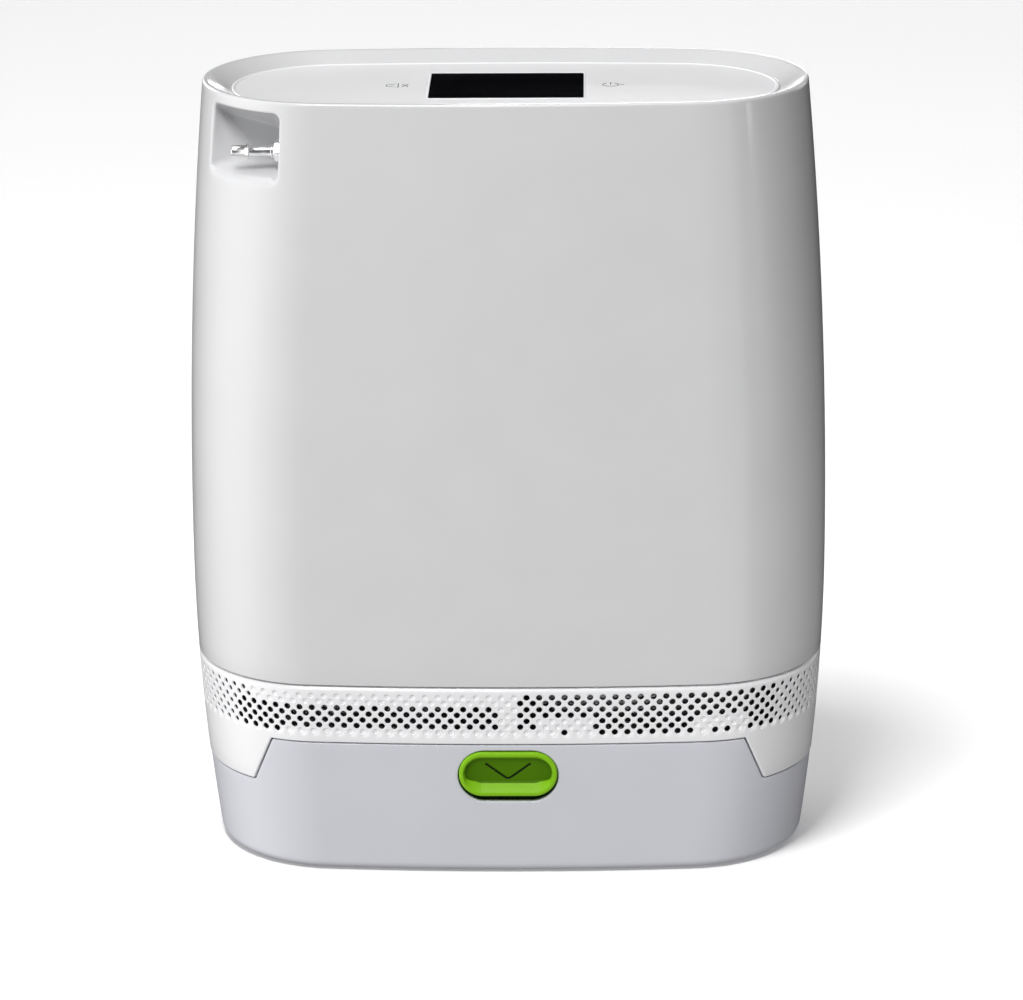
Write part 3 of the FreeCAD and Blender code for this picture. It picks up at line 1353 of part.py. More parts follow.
upper_housing()
control_panel()
display()
panel_electronics()
outlet()
lower_housing()
latch_catch()
housing_screws()
battery_case()
battery_cover()
battery_inside()
battery_plug()
battery_socket()
battery_fixings()
latch_button()
latch_bolt()
latch_frame()
latch_spring()
chassis()
crankcase()
cylinders()
crank_train()
rods()
motor()
fan()
cooling_coil()
sieve_columns()
valves()
gas_train()
hoses()
main_board()
power_inlet()
check_and_write()
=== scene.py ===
"""Looks of the portable oxygen concentrator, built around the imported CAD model.

Lengths in the mesh code are millimetres and turn into metres when a mesh is made.
+X is the user's right, the front faces -Y and +Z points up.
"""

import json
import math

import bmesh
import bpy
import numpy as np
from mathutils import Euler, Matrix, Vector


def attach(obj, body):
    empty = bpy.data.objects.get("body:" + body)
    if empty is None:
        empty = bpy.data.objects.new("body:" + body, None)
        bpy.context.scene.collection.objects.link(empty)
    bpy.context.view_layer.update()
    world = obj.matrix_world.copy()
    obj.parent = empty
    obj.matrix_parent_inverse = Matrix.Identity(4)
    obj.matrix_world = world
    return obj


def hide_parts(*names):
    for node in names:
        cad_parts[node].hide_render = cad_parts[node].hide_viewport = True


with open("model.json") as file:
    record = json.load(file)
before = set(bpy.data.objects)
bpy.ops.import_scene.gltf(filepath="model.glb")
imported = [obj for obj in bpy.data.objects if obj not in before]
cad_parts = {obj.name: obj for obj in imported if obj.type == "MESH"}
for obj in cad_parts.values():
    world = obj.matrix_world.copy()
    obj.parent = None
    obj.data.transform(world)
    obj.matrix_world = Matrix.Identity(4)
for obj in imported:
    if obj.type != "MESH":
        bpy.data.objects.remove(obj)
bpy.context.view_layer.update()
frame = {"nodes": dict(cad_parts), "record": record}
MM = 0.001


# ------------------------ camera
CAMERA_SPOT = (0.027225, -1.331504, 0.550880)
CAMERA_TILT, CAMERA_ROLL, CAMERA_TURN = 71.91149, 0.42967, 0.99072
LENS, SENSOR = 148.02, 36.0


def make_camera():
    """A long lens in front of the object and a little above it."""
    lens = bpy.data.cameras.new("camera")
    lens.lens, lens.sensor_width = LENS, SENSOR
    lens.clip_start, lens.clip_end = 0.05, 60.0
    camera = bpy.data.objects.new("camera", lens)
    turned = Euler([math.radians(a) for a in (CAMERA_TILT, CAMERA_ROLL, CAMERA_TURN)])
    camera.matrix_world = Matrix.LocRotScale(Vector(CAMERA_SPOT), turned, None)
    bpy.context.scene.collection.objects.link(camera)
    bpy.context.scene.camera = camera


make_camera()

# ------------------------ outer form
# The numbers repeat the CAD sizes; the skins sit a hair inside the CAD box.
WAIST_Z, WAIST_A, WAIST_B = 100.0, 105.3, 45.66
UPPER_FLANK, LOWER_FLANK, TAPER, END_SHARE = 1680.0, 720.0, 0.3, 43.3 / 45.7
TOP_Z, BOTTOM_Z = 260.0, 0.5
HOUSING_SEAM, BATTERY_SEAM, GAP = 66.0, 46.0, 0.45
CORNER_X, EAR_X, EAR_Z, CORNER_RATIO = 77.8, 85.3, 30.0, 0.635


def half_width(z):
    """Half the case's width at a height: two wide arcs that meet at the waist."""
    flank = np.where(z > WAIST_Z, UPPER_FLANK, LOWER_FLANK)
    return WAIST_A - (z - WAIST_Z) ** 2 / (2 * flank)


def section(z):
    """Half width, half depth and end radius of the case's oval at a height."""
    a = half_width(z)
    b = WAIST_B - TAPER * (WAIST_A - a)
    return a, b, b * END_SHARE


def long_arc(a, b, r):
    """Radius of an oval's front and back arcs, and the angle that half of one spans."""
    bow = (a * a + b * b - 2 * a * r) / (2 * (b - r))
    return bow, np.arctan2(a - r, bow - b)


def oval(a, b, r, share, depth):
    """Points of an oval of four tangent arcs, at shares of the way round from the middle of
    the front towards +X, set in by a depth; and the outward normals there."""
    bow, turn = long_arc(a, b, r)
    quarter = bow * turn + r * (np.pi / 2 - turn)
    q = 4 * np.mod(share, 1.0)
    u = quarter * np.select([q <= 1, q <= 2, q <= 3], [q, 2 - q, q - 2], 4 - q)
    on_bow = u < bow * turn
    angle = np.where(on_bow, u / bow, turn + (u - bow * turn) / r)
    sin, cos = np.sin(angle), np.cos(angle)
    x = np.where(on_bow, bow * sin, a - r + r * sin) - depth * sin
    y = np.where(on_bow, bow - b - bow * cos, -r * cos) + depth * cos
    side = np.where(q > 2, -1.0, 1.0)
    end = np.where((q > 1) & (q < 3), -1.0, 1.0)
    return side * x, end * y, side * sin, -end * cos


def case(share, z, depth=0.0):
    """A point of the case's side, set in by a depth."""
    share, z, depth = np.broadcast_arrays(*(np.asarray(v, float) for v in (share, z, depth)))
    x, y, _, _ = oval(*section(z), share, depth)
    return np.stack([x, y, z], -1)


def perimeter(z):
    """Length of the way round the case at a height."""
    a, b, r = section(z)
    bow, turn = long_arc(a, b, r)
    return float(4 * (bow * turn + r * (math.pi / 2 - turn)))


def depth_inside(spots):
    """How far in from the case's outer surface each spot lies."""
    a, b, r = section(spots[:, 2])
    bow, turn = long_arc(a, b, r)
    far, deep = np.abs(spots[:, 0]), np.abs(spots[:, 1])
    wall = bow - np.hypot(far, deep + bow - b)
    end = r - np.hypot(far - (a - r), deep)
    return np.where(np.arctan2(far, deep + bow - b) < turn, wall, end)


# ------------------------ mesh tools
# points in the same cell of this many to the millimetre are one; the shift keeps round
# numbers off the cells' edges
WELD_CELLS, WELD_SHIFT = 2000, 0.37


class Sheet:
    """Outer points, the inner point behind each, and faces."""

    def __init__(self):
        self.outer, self.inner, self.faces, self.count = [], [], [], 0

    def add(self, outer, inner=None):
        """Add points, with the points behind them, and give their numbers."""
        outer = np.asarray(outer, float).reshape(-1, 3)
        inner = outer if inner is None else np.asarray(inner, float).reshape(-1, 3)
        self.outer.append(outer)
        self.inner.append(inner)
        start = self.count
        self.count += len(outer)
        return np.arange(start, self.count)

    def strip(self, first, second, closed=False):
        """Quads between two rows of points."""
        first, second = np.asarray(first), np.asarray(second)
        nexts = (np.roll(first, -1), np.roll(second, -1))
        quads = np.stack([first, nexts[0], nexts[1], second], -1)
        self.faces.append(quads if closed else quads[:-1])

    def strips(self, rows, closed=False):
        """Quads between every two rows that follow each other."""
        for first, second in zip(rows, rows[1:]):
            self.strip(first, second, closed)

    def fan(self, row, centre):
        """Triangles from a closed row to one point."""
        row = np.asarray(row)
        middle = np.full(len(row), centre)
        self.faces.append(np.stack([row, np.roll(row, -1), middle, middle], -1))

    def welded(self):
        """Points with copies merged, and faces as tuples with repeats dropped."""
        outer = np.concatenate(self.outer)
        inner = np.concatenate(self.inner)
        keys = np.floor(outer * WELD_CELLS + WELD_SHIFT).astype(np.int64)
        _, first, back = np.unique(keys, axis=0, return_index=True, return_inverse=True)
        back = back.reshape(-1)
        faces = []
        for block in self.faces:
            for face in back[block].tolist():
                corners = [c for i, c in enumerate(face) if c != face[i - 1]]
                if len(set(corners)) > 2 and len(set(corners)) == len(corners):
                    faces.append(tuple(corners))
        return outer[first], inner[first], faces


def edge_loops(faces):
    """Directed edges that only one face uses."""
    used = {}
    for face in faces:
        for i, c in enumerate(face):
            used[(face[i - 1], c)] = True
    return [(p, q) for p, q in used if (q, p) not in used]


def vertex_normals(points, faces):
    """Unit normals at the points, weighted by the areas of the faces."""
    normals = np.zeros_like(points)
    for face in faces:
        p = points[list(face)]
        n = np.zeros(3)
        for i in range(len(face)):
            n += np.cross(p[i - 1], p[i])
        for c in face:
            normals[c] += n
    return normals / np.maximum(np.linalg.norm(normals, axis=1, keepdims=True), 1e-9)


def doubled(points, inner, faces):
    """A closed shell from a sheet and its inner side."""
    n = len(points)
    shell = list(faces) + [tuple(c + n for c in reversed(face)) for face in faces]
    shell += [(q, p, p + n, q + n) for p, q in edge_loops(faces)]
    return np.concatenate([points, inner]), shell


def make(name, points, faces, smooth=True):
    """A mesh object in metres, its faces turned outward."""
    mesh = bpy.data.meshes.new(name)
    mesh.from_pydata((np.asarray(points) * MM).tolist(), [], [tuple(f) for f in faces])
    mesh.validate()
    piece = bpy.data.objects.new(name, mesh)
    bpy.context.scene.collection.objects.link(piece)
    bm = bmesh.new()
    bm.from_mesh(mesh)
    bmesh.ops.remove_doubles(bm, verts=bm.verts, dist=1e-7)
    bmesh.ops.recalc_face_normals(bm, faces=bm.faces)
    for face in bm.faces:
        face.smooth = smooth
    bm.to_mesh(mesh)
    bm.free()
    mesh.update()
    return piece


def lathe(profile, centre, axis, segments=96, sides=None):
    """Points and faces of a turned shape; profile is (radius, distance) pairs from end to end.
    Sides is the number of flats, as on a nut."""
    sheet = Sheet()
    turn = np.arange(segments) * 2 * math.pi / segments
    axes = np.roll(np.eye(3), "ZXY".index(axis), axis=1)
    rows = []
    for radius, along in profile:
        reach = np.full(segments, float(radius))
        if sides:
            half = math.pi / sides
            flat = math.cos(half) / np.cos(np.mod(turn, 2 * half) - half)
            corner = NUT_CORNER if radius > NUT_BORE else radius
            reach = np.minimum(reach, corner * flat)
        local = np.stack([reach * np.cos(turn), reach * np.sin(turn), np.full(segments, along)], -1)
        rows.append(sheet.add(local @ axes + np.asarray(centre, float)))
    sheet.strips(rows, closed=True)
    for row, (_, along) in ((rows[0], profile[0]), (rows[-1], profile[-1])):
        tip = sheet.add(np.array([0, 0, along]) @ axes + np.asarray(centre, float))
        sheet.fan(row, tip[0])
    points, _, faces = sheet.welded()
    return points, faces


def face_centres(piece):
    """The middle of each face of a piece, in millimetres."""
    spots = np.empty(3 * len(piece.data.polygons))
    piece.data.polygons.foreach_get("center", spots)
    return spots.reshape(-1, 3) / MM


def set_zones(piece, zones):
    """Number each face's zone, which picks its material."""
    piece.data.polygons.foreach_set("material_index", np.asarray(zones).astype(np.int32))


def join(parts):
    """Points and faces of several shapes in one."""
    points, faces, start = [], [], 0
    for p, f in parts:
        points.append(np.asarray(p))
        faces += [tuple(c + start for c in face) for face in f]
        start += len(p)
    return np.concatenate(points), faces


def rounded(q, half_u, half_v, radius, grow=0.0):
    """The points of a rounded rectangle's outline that outside points see squarely."""
    radius = np.broadcast_to(radius, len(q))
    limit = np.stack([half_u - radius, half_v - radius], -1)
    core = np.clip(q, -limit, limit)
    away = q - core
    away /= np.linalg.norm(away, axis=1, keepdims=True)
    return core + away * (radius + grow)[:, None], away


def hole_edge(columns, rows, ids):
    """The loop of point numbers round a rectangle of a grid, and its (column, row) places."""
    c0, c1 = columns
    r0, r1 = rows
    count = ids.shape[1]
    places = [(c, r0) for c in range(c0, c1)] + [(c1, r) for r in range(r0, r1)]
    places += [(c, r1) for c in range(c1, c0, -1)] + [(c0, r) for r in range(r1, r0, -1)]
    return np.array([ids[r, c % count] for c, r in places]), places


def at_height(spots, z):
    """Flat points, put at a height."""
    return np.concatenate([spots, np.full((len(spots), 1), z)], 1)


def arc_steps(count):
    """Steps of a quarter round, without its start: the share along and the share in."""
    angles = [math.pi / 2 * (i + 1) / count for i in range(count)]
    return [(math.sin(angle), 1 - math.cos(angle)) for angle in angles]


def grid_faces(sheet, ids, holes):
    """Quads of a grid that closes on itself, less the cells inside the holes."""
    rows, columns = ids.shape
    keep = np.ones((rows - 1, columns), bool)
    for (c0, c1), (r0, r1) in holes:
        keep[r0:r1, c0:c1] = False
    nexts = np.roll(ids, -1, axis=1)
    quads = np.stack([ids[:-1], nexts[:-1], nexts[1:], ids[1:]], -1)
    sheet.faces.append(quads[keep])


def merged_stations(low, high, step, dense):
    """Sorted numbers from low to high: a coarse step, and finer steps in the dense spans."""
    stations = [low, high]
    edges = sorted([low, high] + [e for span in dense for e in span[:2]])
    for start, end in zip(edges, edges[1:]):
        fine = [span[2] for span in dense if span[0] <= start and end <= span[1]]
        count = max(1, int(round((end - start) / (fine[0] if fine else step))))
        stations += [start + (end - start) * i / count for i in range(count + 1)]
    stations = sorted(stations)
    return np.array([s for i, s in enumerate(stations) if i == 0 or s - stations[i - 1] > 1e-9])


# ------------------------ upper case
POCKET_SHARE, POCKET_Z, POCKET_U, POCKET_V = -0.1752, 244.55, 15.5, 12.35
# the corners of the pocket's back wall
POCKET_BACK = {"low_right": (-71.1, -15.0, 237.4), "low_left": (-77.7, -15.0, 237.4),
               "high_left": (-91.2, -15.0, 252.4), "high_right": (-71.1, -15.0, 246.8)}
INLET_X, INLET_Z, INLET_SHARE, INLET_RADIUS = -72.0, 82.0, 0.6388, 6.85
SKIN, RIM_WIDTH = 0.6, 1.4
PANEL_A, PANEL_B, PANEL_Z = 88.6, 35.2, 256.6
# the rectangles of the case's grid that the pocket and the inlet replace
POCKET_CELL, POCKET_LOW, POCKET_HIGH = 18.4, 229.4, 258.5
INLET_CELL, INLET_LOW, INLET_HIGH = 9.4, 72.6, 91.4
# corner radii of the pocket's mouth (low left, low right, high left, high right), and the
# radius between its walls and its back
MOUTH_RADII = 4.6, 4.2, 3.2, 3.4
WALL_BEND = 1.6
# where the pocket's back wall lies, as the low and high corners of a box; the wall is painted a
# darker grey, as painted shade under the overhang
BACK_BOX = (-92.5, -18.5, 230.0), (-70.0, -14.0, 254.0)
# how squarely a face of that wall looks forwards
BACK_FACING = 0.94


def pocket(sheet, loop, places, shares, levels):
    """The scoop round the outlet, from the case's surface to its back wall."""
    length = perimeter(POCKET_Z)
    middle = POCKET_SHARE % 1.0
    q = np.array([((shares[c % len(shares)] - middle) * length, levels[r] - POCKET_Z)
                  for c, r in places])
    low, left = q[:, 1] < 0, q[:, 0] < 0
    radius = np.select([low & left, low, left], MOUTH_RADII[:3], MOUTH_RADII[3])

    def on_surface(uv, depth=0.0):
        return case(middle + uv[:, 0] / length, POCKET_Z + uv[:, 1], depth)

    start, away = rounded(q, POCKET_U, POCKET_V, radius)
    rows = [loop]
    for part in (0.35, 0.7, 1.0):
        rows.append(sheet.add(on_surface(q + (start - q) * part)))
    lip = 0.8 + 2.2 * np.maximum(0, -away[:, 1]) ** 2
    square = start / (POCKET_U, POCKET_V)

    def back_wall(shrink):
        """The outline's points on the back wall, drawn in towards its middle."""
        s, t = (square[:, 0] * shrink + 1) / 2, (square[:, 1] * shrink + 1) / 2
        corners = {k: np.array(v) for k, v in POCKET_BACK.items()}
        low_edge = corners["low_left"] * (1 - s)[:, None] + corners["low_right"] * s[:, None]
        top_edge = corners["high_left"] * (1 - s)[:, None] + corners["high_right"] * s[:, None]
        return low_edge * (1 - t)[:, None] + top_edge * t[:, None]

    back = back_wall(1.0)
    inner_start = start - away * lip[:, None]
    mouth = on_surface(inner_start, lip)
    for along, cut in arc_steps(6):
        shift = lip * (1 - along)
        rows.append(sheet.add(on_surface(inner_start + away * shift[:, None], lip * cut)))
    reach = np.linalg.norm(back - mouth, axis=1)
    for part in np.linspace(0.08, 1.0, 12):
        run = part * (reach - WALL_BEND) / reach
        rows.append(sheet.add(mouth + (back - mouth) * run[:, None]))
    wall_end = mouth + (back - mouth) * ((reach - WALL_BEND) / reach)[:, None]
    floor_start = back_wall(0.82)
    for t in (0.25, 0.5, 0.75, 1.0):
        bend = (1 - t) ** 2 * wall_end + 2 * t * (1 - t) * back + t ** 2 * floor_start
        rows.append(sheet.add(bend))
    for shrink in (0.6, 0.4, 0.2):
        rows.append(sheet.add(back_wall(shrink)))
    sheet.strips(rows, closed=True)
    sheet.fan(rows[-1], sheet.add(back_wall(0.0)[:1])[0])


def inlet_hole(sheet, loop, places, shares, levels):
    """The round hole at the power inlet, with a rolled edge."""
    length = perimeter(INLET_Z)
    q = np.array([((shares[c % len(shares)] - INLET_SHARE) * length, levels[r] - INLET_Z)
                  for c, r in places])
    roll = 0.6
    rim, away = rounded(q, INLET_RADIUS, INLET_RADIUS, INLET_RADIUS - 1e-6, roll)
    rows = [loop]

    def on_surface(uv, depth=0.0):
        return case(INLET_SHARE + uv[:, 0] / length, INLET_Z + uv[:, 1], depth)

    for part in (0.35, 0.7, 1.0):
        rows.append(sheet.add(on_surface(q + (rim - q) * part)))
    for along, cut in arc_steps(5):
        rows.append(sheet.add(on_surface(rim - away * roll * along, roll * cut)))
    for depth in (1.2, 2.2):
        rows.append(sheet.add(on_surface(rim - away * roll, depth)))
    sheet.strips(rows, closed=True)


def upper_case():
    """Side wall, rolled top rim and the dished ring down to the control panel."""
    length = perimeter(150.0)
    middle, cell = POCKET_SHARE % 1.0, POCKET_CELL / perimeter(POCKET_Z)
    pocket_span = (middle - cell, middle + cell, 0.7 / length)
    cell = INLET_CELL / length
    inlet_span = (INLET_SHARE - cell, INLET_SHARE + cell, 0.75 / length)
    shares = merged_stations(0.0, 1.0, 2.0 / length, [pocket_span, inlet_span])[:-1]
    foot = HOUSING_SEAM + GAP / 2
    roll, rim_roll = 0.45, 0.75
    levels = merged_stations(foot + roll, TOP_Z - rim_roll, 4.0,
                             [(INLET_LOW, INLET_HIGH, 0.75), (POCKET_LOW, POCKET_HIGH, 0.7)])
    sheet = Sheet()
    rows = [sheet.add(case(shares, foot, 2.2)), sheet.add(case(shares, foot, 1.2))]
    for along, cut in reversed(arc_steps(4)):
        rows.append(sheet.add(case(shares, foot + roll - roll * along, roll * cut)))
    first = len(rows)
    rows += [sheet.add(case(shares, z)) for z in levels]
    last = len(rows)
    for along, cut in arc_steps(5):
        level = case(shares, TOP_Z, rim_roll * cut)
        level[:, 2] = TOP_Z - rim_roll + rim_roll * along
        rows.append(sheet.add(level))
    inner = case(shares, TOP_Z, RIM_WIDTH)
    px, py, nx, ny = oval(PANEL_A, PANEL_B, PANEL_B * END_SHARE, shares, 0.0)
    panel = at_height(np.stack([px, py], -1), PANEL_Z)
    rows.append(sheet.add(inner))
    slope = panel - inner
    # the ring: a small round at the rim, a long fall, a small round at the panel
    for part, sag in ((0.05, 0.06), (0.12, 0.05), (0.3, 0.02), (0.5, 0.0), (0.7, 0.0),
                      (0.85, 0.0), (0.95, -0.04), (1.0, 0.0)):
        point = inner + slope * part
        point[:, 2] += sag
        rows.append(sheet.add(point))
    for drop, gap in ((0.25, 0.06), (0.8, 0.08), (2.0, 0.08)):
        rows.append(sheet.add(panel - np.stack([nx * gap, ny * gap, np.full(len(nx), drop)], -1)))
    ids = np.array(rows)

    def span(stations, low, high):
        """The numbers of the stations nearest to low and high."""
        return (int(np.argmin(abs(stations - low))), int(np.argmin(abs(stations - high))))

    pocket_cols = span(shares, *pocket_span[:2])
    pocket_rows = tuple(r + first for r in span(levels, POCKET_LOW, POCKET_HIGH))
    inlet_cols = span(shares, *inlet_span[:2])
    inlet_rows = tuple(r + first for r in span(levels, INLET_LOW, INLET_HIGH))
    grid_faces(sheet, ids, [(pocket_cols, pocket_rows), (inlet_cols, inlet_rows)])
    all_levels = np.concatenate([np.zeros(first), levels, np.zeros(len(rows) - last)])
    loop, places = hole_edge(pocket_cols, pocket_rows, ids)
    pocket(sheet, loop, places, shares, all_levels)
    loop, places = hole_edge(inlet_cols, inlet_rows, ids)
    inlet_hole(sheet, loop, places, shares, all_levels)
    points, _, faces = sheet.welded()
    normals = vertex_normals(points, faces)
    # the point furthest to the right tells which way the normals point
    outward = np.sign(normals[np.argmax(points[:, 0])][0])
    points, faces = doubled(points, points - outward * normals * SKIN, faces)
    piece = make("upper_case_skin", points, faces)
    # the faces of the pocket's back wall get the darker grey: painted shade
    spots = face_centres(piece)
    low, high = BACK_BOX
    facing = np.empty(len(spots) * 3)
    piece.data.polygons.foreach_get("normal", facing)
    inside = ((spots > low) & (spots < high)).all(axis=1)
    set_zones(piece, inside & (np.abs(facing[1::3]) > BACK_FACING))
    return piece


# ------------------------ seam lines
def seam_line(share, lift):
    """Height of the stepped line between battery and housing, raised by lift."""
    x = np.abs(case(share, 40.0)[..., 0])
    corner, ear = CORNER_X + CORNER_RATIO * lift, EAR_X + CORNER_RATIO * lift
    top, low = BATTERY_SEAM + lift, EAR_Z + lift
    return top + (low - top) * np.clip((x - corner) / (ear - corner), 0, 1)


def seam_normal(share, lift):
    """Unit direction (along the wall, up) that points down across the stepped line."""
    step, length = 0.0004, perimeter(45.0)
    rise = (seam_line(share + step, lift) - seam_line(share - step, lift)) / (2 * step * length)
    size = np.sqrt(1 + rise ** 2)
    return rise / size, -1 / size


def seam_columns():
    """Shares of the way round, eight to a vent."""
    count = PITCHES * 8
    return np.arange(count) / count


# ------------------------ vent band
PITCHES = 124
ROW_Z = [50.3, 52.3, 54.3, 56.4, 58.4, 60.6, 62.6]
BAND_THICK = 2.0
# half heights of the lowest row's lower halves and the highest row's upper halves, and
# where the plain strips beyond them end
LOWEST_HALF, HIGHEST_HALF = 2.05, 1.62
PLAIN_LOW, PLAIN_HIGH = 48.0, 64.5
# the vents that go right through, by wall and row, as distances from the wall's middle
OPEN_SPANS = {
    "back": [[]] + [[(4.0, 91.5)]] * 5 + [[]],
    "front_left": [[(73.0, 91.5)]] + [[(3.9, 91.5)]] * 4 + [[], []],
    "front_right": [[(18.0, 19.5), (31.0, 61.0), (66.5, 74.0), (78.0, 89.5)],
                    [(3.9, 8.5), (29.0, 59.0), (79.0, 90.0)],
                    [(5.5, 7.0), (31.0, 61.0), (79.0, 90.0)]] + [[(3.9, 90.5)]] * 4,
}
# radius and depth of a vent's rings, from the wall's surface inwards
OPEN_RINGS = ((1.36, 0.0), (1.2, 0.0), (1.1, 0.04), (1.04, 0.14), (1.01, 0.32), (1.0, 0.7))
DEEP_RINGS = ((1.2, 0.0), (1.02, 0.0), (0.93, 0.04), (0.85, 0.16), (0.8, 0.55), (0.76, 0.95))
SHALLOW_RINGS = ((1.15, 0.0), (1.0, 0.0), (0.94, 0.03), (0.88, 0.12), (0.78, 0.32), (0.5, 0.42))
# closed vents further than this from the wall's middle are deep, the others shallow
DEEP_FROM = 86.0
# faces deeper than this, between these heights, are painted near-black: painted shade inside the
# vents
DARK_DEPTH, DARK_LOW, DARK_HIGH = 0.5, 48.6, 64.2


def is_open(row, place, front):
    """Whether a vent goes right through, by its row and its place along the wall."""
    wall = ("front_left" if place < 0 else "front_right") if front else "back"
    return any(start < abs(place) < end for start, end in OPEN_SPANS[wall][row])


def diamond(below, above, side_steps=4):
    """The outline of one vent's cell, in pitches along and millimetres up."""
    corners = [(0.5, 0.0), (0.0, above), (-0.5, 0.0), (0.0, -below)]
    outline = []
    for (u0, v0), (u1, v1) in zip(corners, corners[1:] + corners[:1]):
        outline += [(u0 + (u1 - u0) * i / side_steps, v0 + (v1 - v0) * i / side_steps)
                    for i in range(side_steps)]
    return np.array(outline)


def vent_band():
    """The perforated wall under the housing seam, down to the battery seam."""
    sheet = Sheet()
    length = perimeter(56.0)
    pitch = length / PITCHES

    def put(share, z, depth):
        return sheet.add(case(share, z, depth), case(share, z, BAND_THICK))

    for row, z in enumerate(ROW_Z):
        below = LOWEST_HALF if row == 0 else z - ROW_Z[row - 1]
        above = HIGHEST_HALF if row == len(ROW_Z) - 1 else ROW_Z[row + 1] - z
        outline = diamond(below, above)
        flat = outline * (pitch, 1.0)
        heading = flat / np.linalg.norm(flat, axis=1, keepdims=True)
        shift = 0.5 if row % 2 == 0 else 0.0
        for column in range(PITCHES):
            at = column + shift
            place = at * pitch if at <= PITCHES / 2 else (at - PITCHES) * pitch
            front = abs(place) < length / 4
            from_middle = place if front else math.copysign(length / 2 - abs(place), place)
            through = is_open(row, from_middle, front)
            share = at / PITCHES
            rings = DEEP_RINGS if abs(from_middle) > DEEP_FROM else SHALLOW_RINGS
            rows = [put(share + outline[:, 0] / PITCHES, z + outline[:, 1], 0.0)]
            for radius, depth in OPEN_RINGS if through else rings:
                spot = heading * radius
                rows.append(put(share + spot[:, 0] / length, z + spot[:, 1], depth))
            sheet.strips(rows, closed=True)
            if not through:
                sheet.fan(rows[-1], put([share], z, rings[-1][1] + 0.04)[0])
    # plain rim above the vents: light chamfer and rolled top edge
    columns = seam_columns()
    phase = np.mod(columns * PITCHES - 0.5, 1.0)
    peak = 1 - np.minimum(phase, 1 - phase) * 2
    rows = [put(columns, ROW_Z[-1] + HIGHEST_HALF * peak, 0.0), put(columns, PLAIN_HIGH, 0.0)]
    for z, depth in ((64.62, 0.03), (65.3, 0.5), (65.55, 0.72), (65.7, 0.95), (65.77, 1.25)):
        rows.append(put(columns, z, depth))
    sheet.strips(rows, closed=True)
    # skirt and ears below the vents, down to the stepped seam
    lift, roll = GAP / 2, 0.4
    nu, nv = seam_normal(columns, lift)
    rim = seam_line(columns, lift)
    top = np.full(len(columns), PLAIN_LOW)
    rows = [put(columns, ROW_Z[0] - LOWEST_HALF * peak, 0.0), put(columns, top, 0.0)]
    edge_u, edge_v = columns - nu * roll / length, rim - nv * roll
    for part in (0.25, 0.5, 0.75, 1.0):
        rows.append(put(columns + (edge_u - columns) * part, top + (edge_v - top) * part, 0.0))
    for along, cut in arc_steps(4):
        down = roll * along
        rows.append(put(edge_u + nu * down / length, edge_v + nv * down, roll * cut))
    rows.append(put(edge_u + nu * roll / length, edge_v + nv * roll, 1.1))
    sheet.strips(rows, closed=True)
    points, faces = doubled(*sheet.welded())
    piece = make("vent_band_skin", points, faces)
    # faces deep in the vents get the near-black painted shade
    spots = face_centres(piece)
    inside = (spots[:, 2] > DARK_LOW) & (spots[:, 2] < DARK_HIGH)
    set_zones(piece, inside & (depth_inside(spots) > DARK_DEPTH))
    return piece


# openings in the housing's floor: half width, and where they start and end from front to back
SOCKET_HALF, SOCKET_START, SOCKET_END = 10.5, 13.5, 30.5
CATCH_HALF, CATCH_START, CATCH_END = 8.2, -40.75, -38.65


def housing_floor():
    """The stepped floor of the lower housing, which rests on the battery."""
    lift, inset, thick = GAP / 2, 1.6, 1.8
    corner, ear = CORNER_X + CORNER_RATIO * lift, EAR_X + CORNER_RATIO * lift
    end = float(half_width(EAR_Z)) - inset
    right = (set(np.linspace(SOCKET_HALF, corner, 18)) | set(np.linspace(corner, ear, 6))
             | set(np.linspace(ear, end, 20)) | {CATCH_HALF, SOCKET_HALF / 2})
    stations = np.array(sorted(right | {-x for x in right} | {0.0}))
    lines = np.array([-45, CATCH_START, CATCH_END, -30, -20, -10, 0, 10, SOCKET_START, 22,
                      SOCKET_END, 38, 45], float)
    sheet = Sheet()
    rows = []
    for x in stations:
        far = abs(x)
        slope = min(1, max(0, (far - corner) / (ear - corner)))
        z = BATTERY_SEAM + lift - (BATTERY_SEAM - EAR_Z) * slope
        a, b, r = section(z)
        bow, turn = long_arc(a, b, r)
        if far < (bow - inset) * math.sin(turn):
            y = math.sqrt((bow - inset) ** 2 - far ** 2) - (bow - b)
        else:
            y = math.sqrt(max(0.0, (r - inset) ** 2 - (far - (a - r)) ** 2))
        across = np.stack([np.full(len(lines), x), np.clip(lines, -y, y)], -1)
        spots = at_height(across, z)
        rows.append(sheet.add(spots, spots + (0, 0, thick)))
    ids = np.array(rows)
    quads = np.stack([ids[:-1, :-1], ids[1:, :-1], ids[1:, 1:], ids[:-1, 1:]], -1)
    keep = np.ones(quads.shape[:2], bool)
    middle = abs(stations[:-1] + stations[1:]) / 2
    along = (lines[:-1] + lines[1:]) / 2
    keep[np.ix_(middle < SOCKET_HALF, (along > SOCKET_START) & (along < SOCKET_END))] = False
    keep[np.ix_(middle < CATCH_HALF, (along > CATCH_START) & (along < CATCH_END))] = False
    sheet.faces.append(quads[keep])
    points, faces = doubled(*sheet.welded())
    return make("housing_floor_skin", points, faces, smooth=False)


# ------------------------ battery
SLOT_HALF, SLOT_LOW, SLOT_TOP = 16.55, 25.75, 43.75
BATTERY_INSET, BATTERY_ROUND, BATTERY_WALL = 0.3, 3.0, 2.0
# the rectangle of the battery's grid that the slot replaces, up to the battery's top edge
SLOT_CELL, SLOT_CELL_LOW = 20.4, 23.2


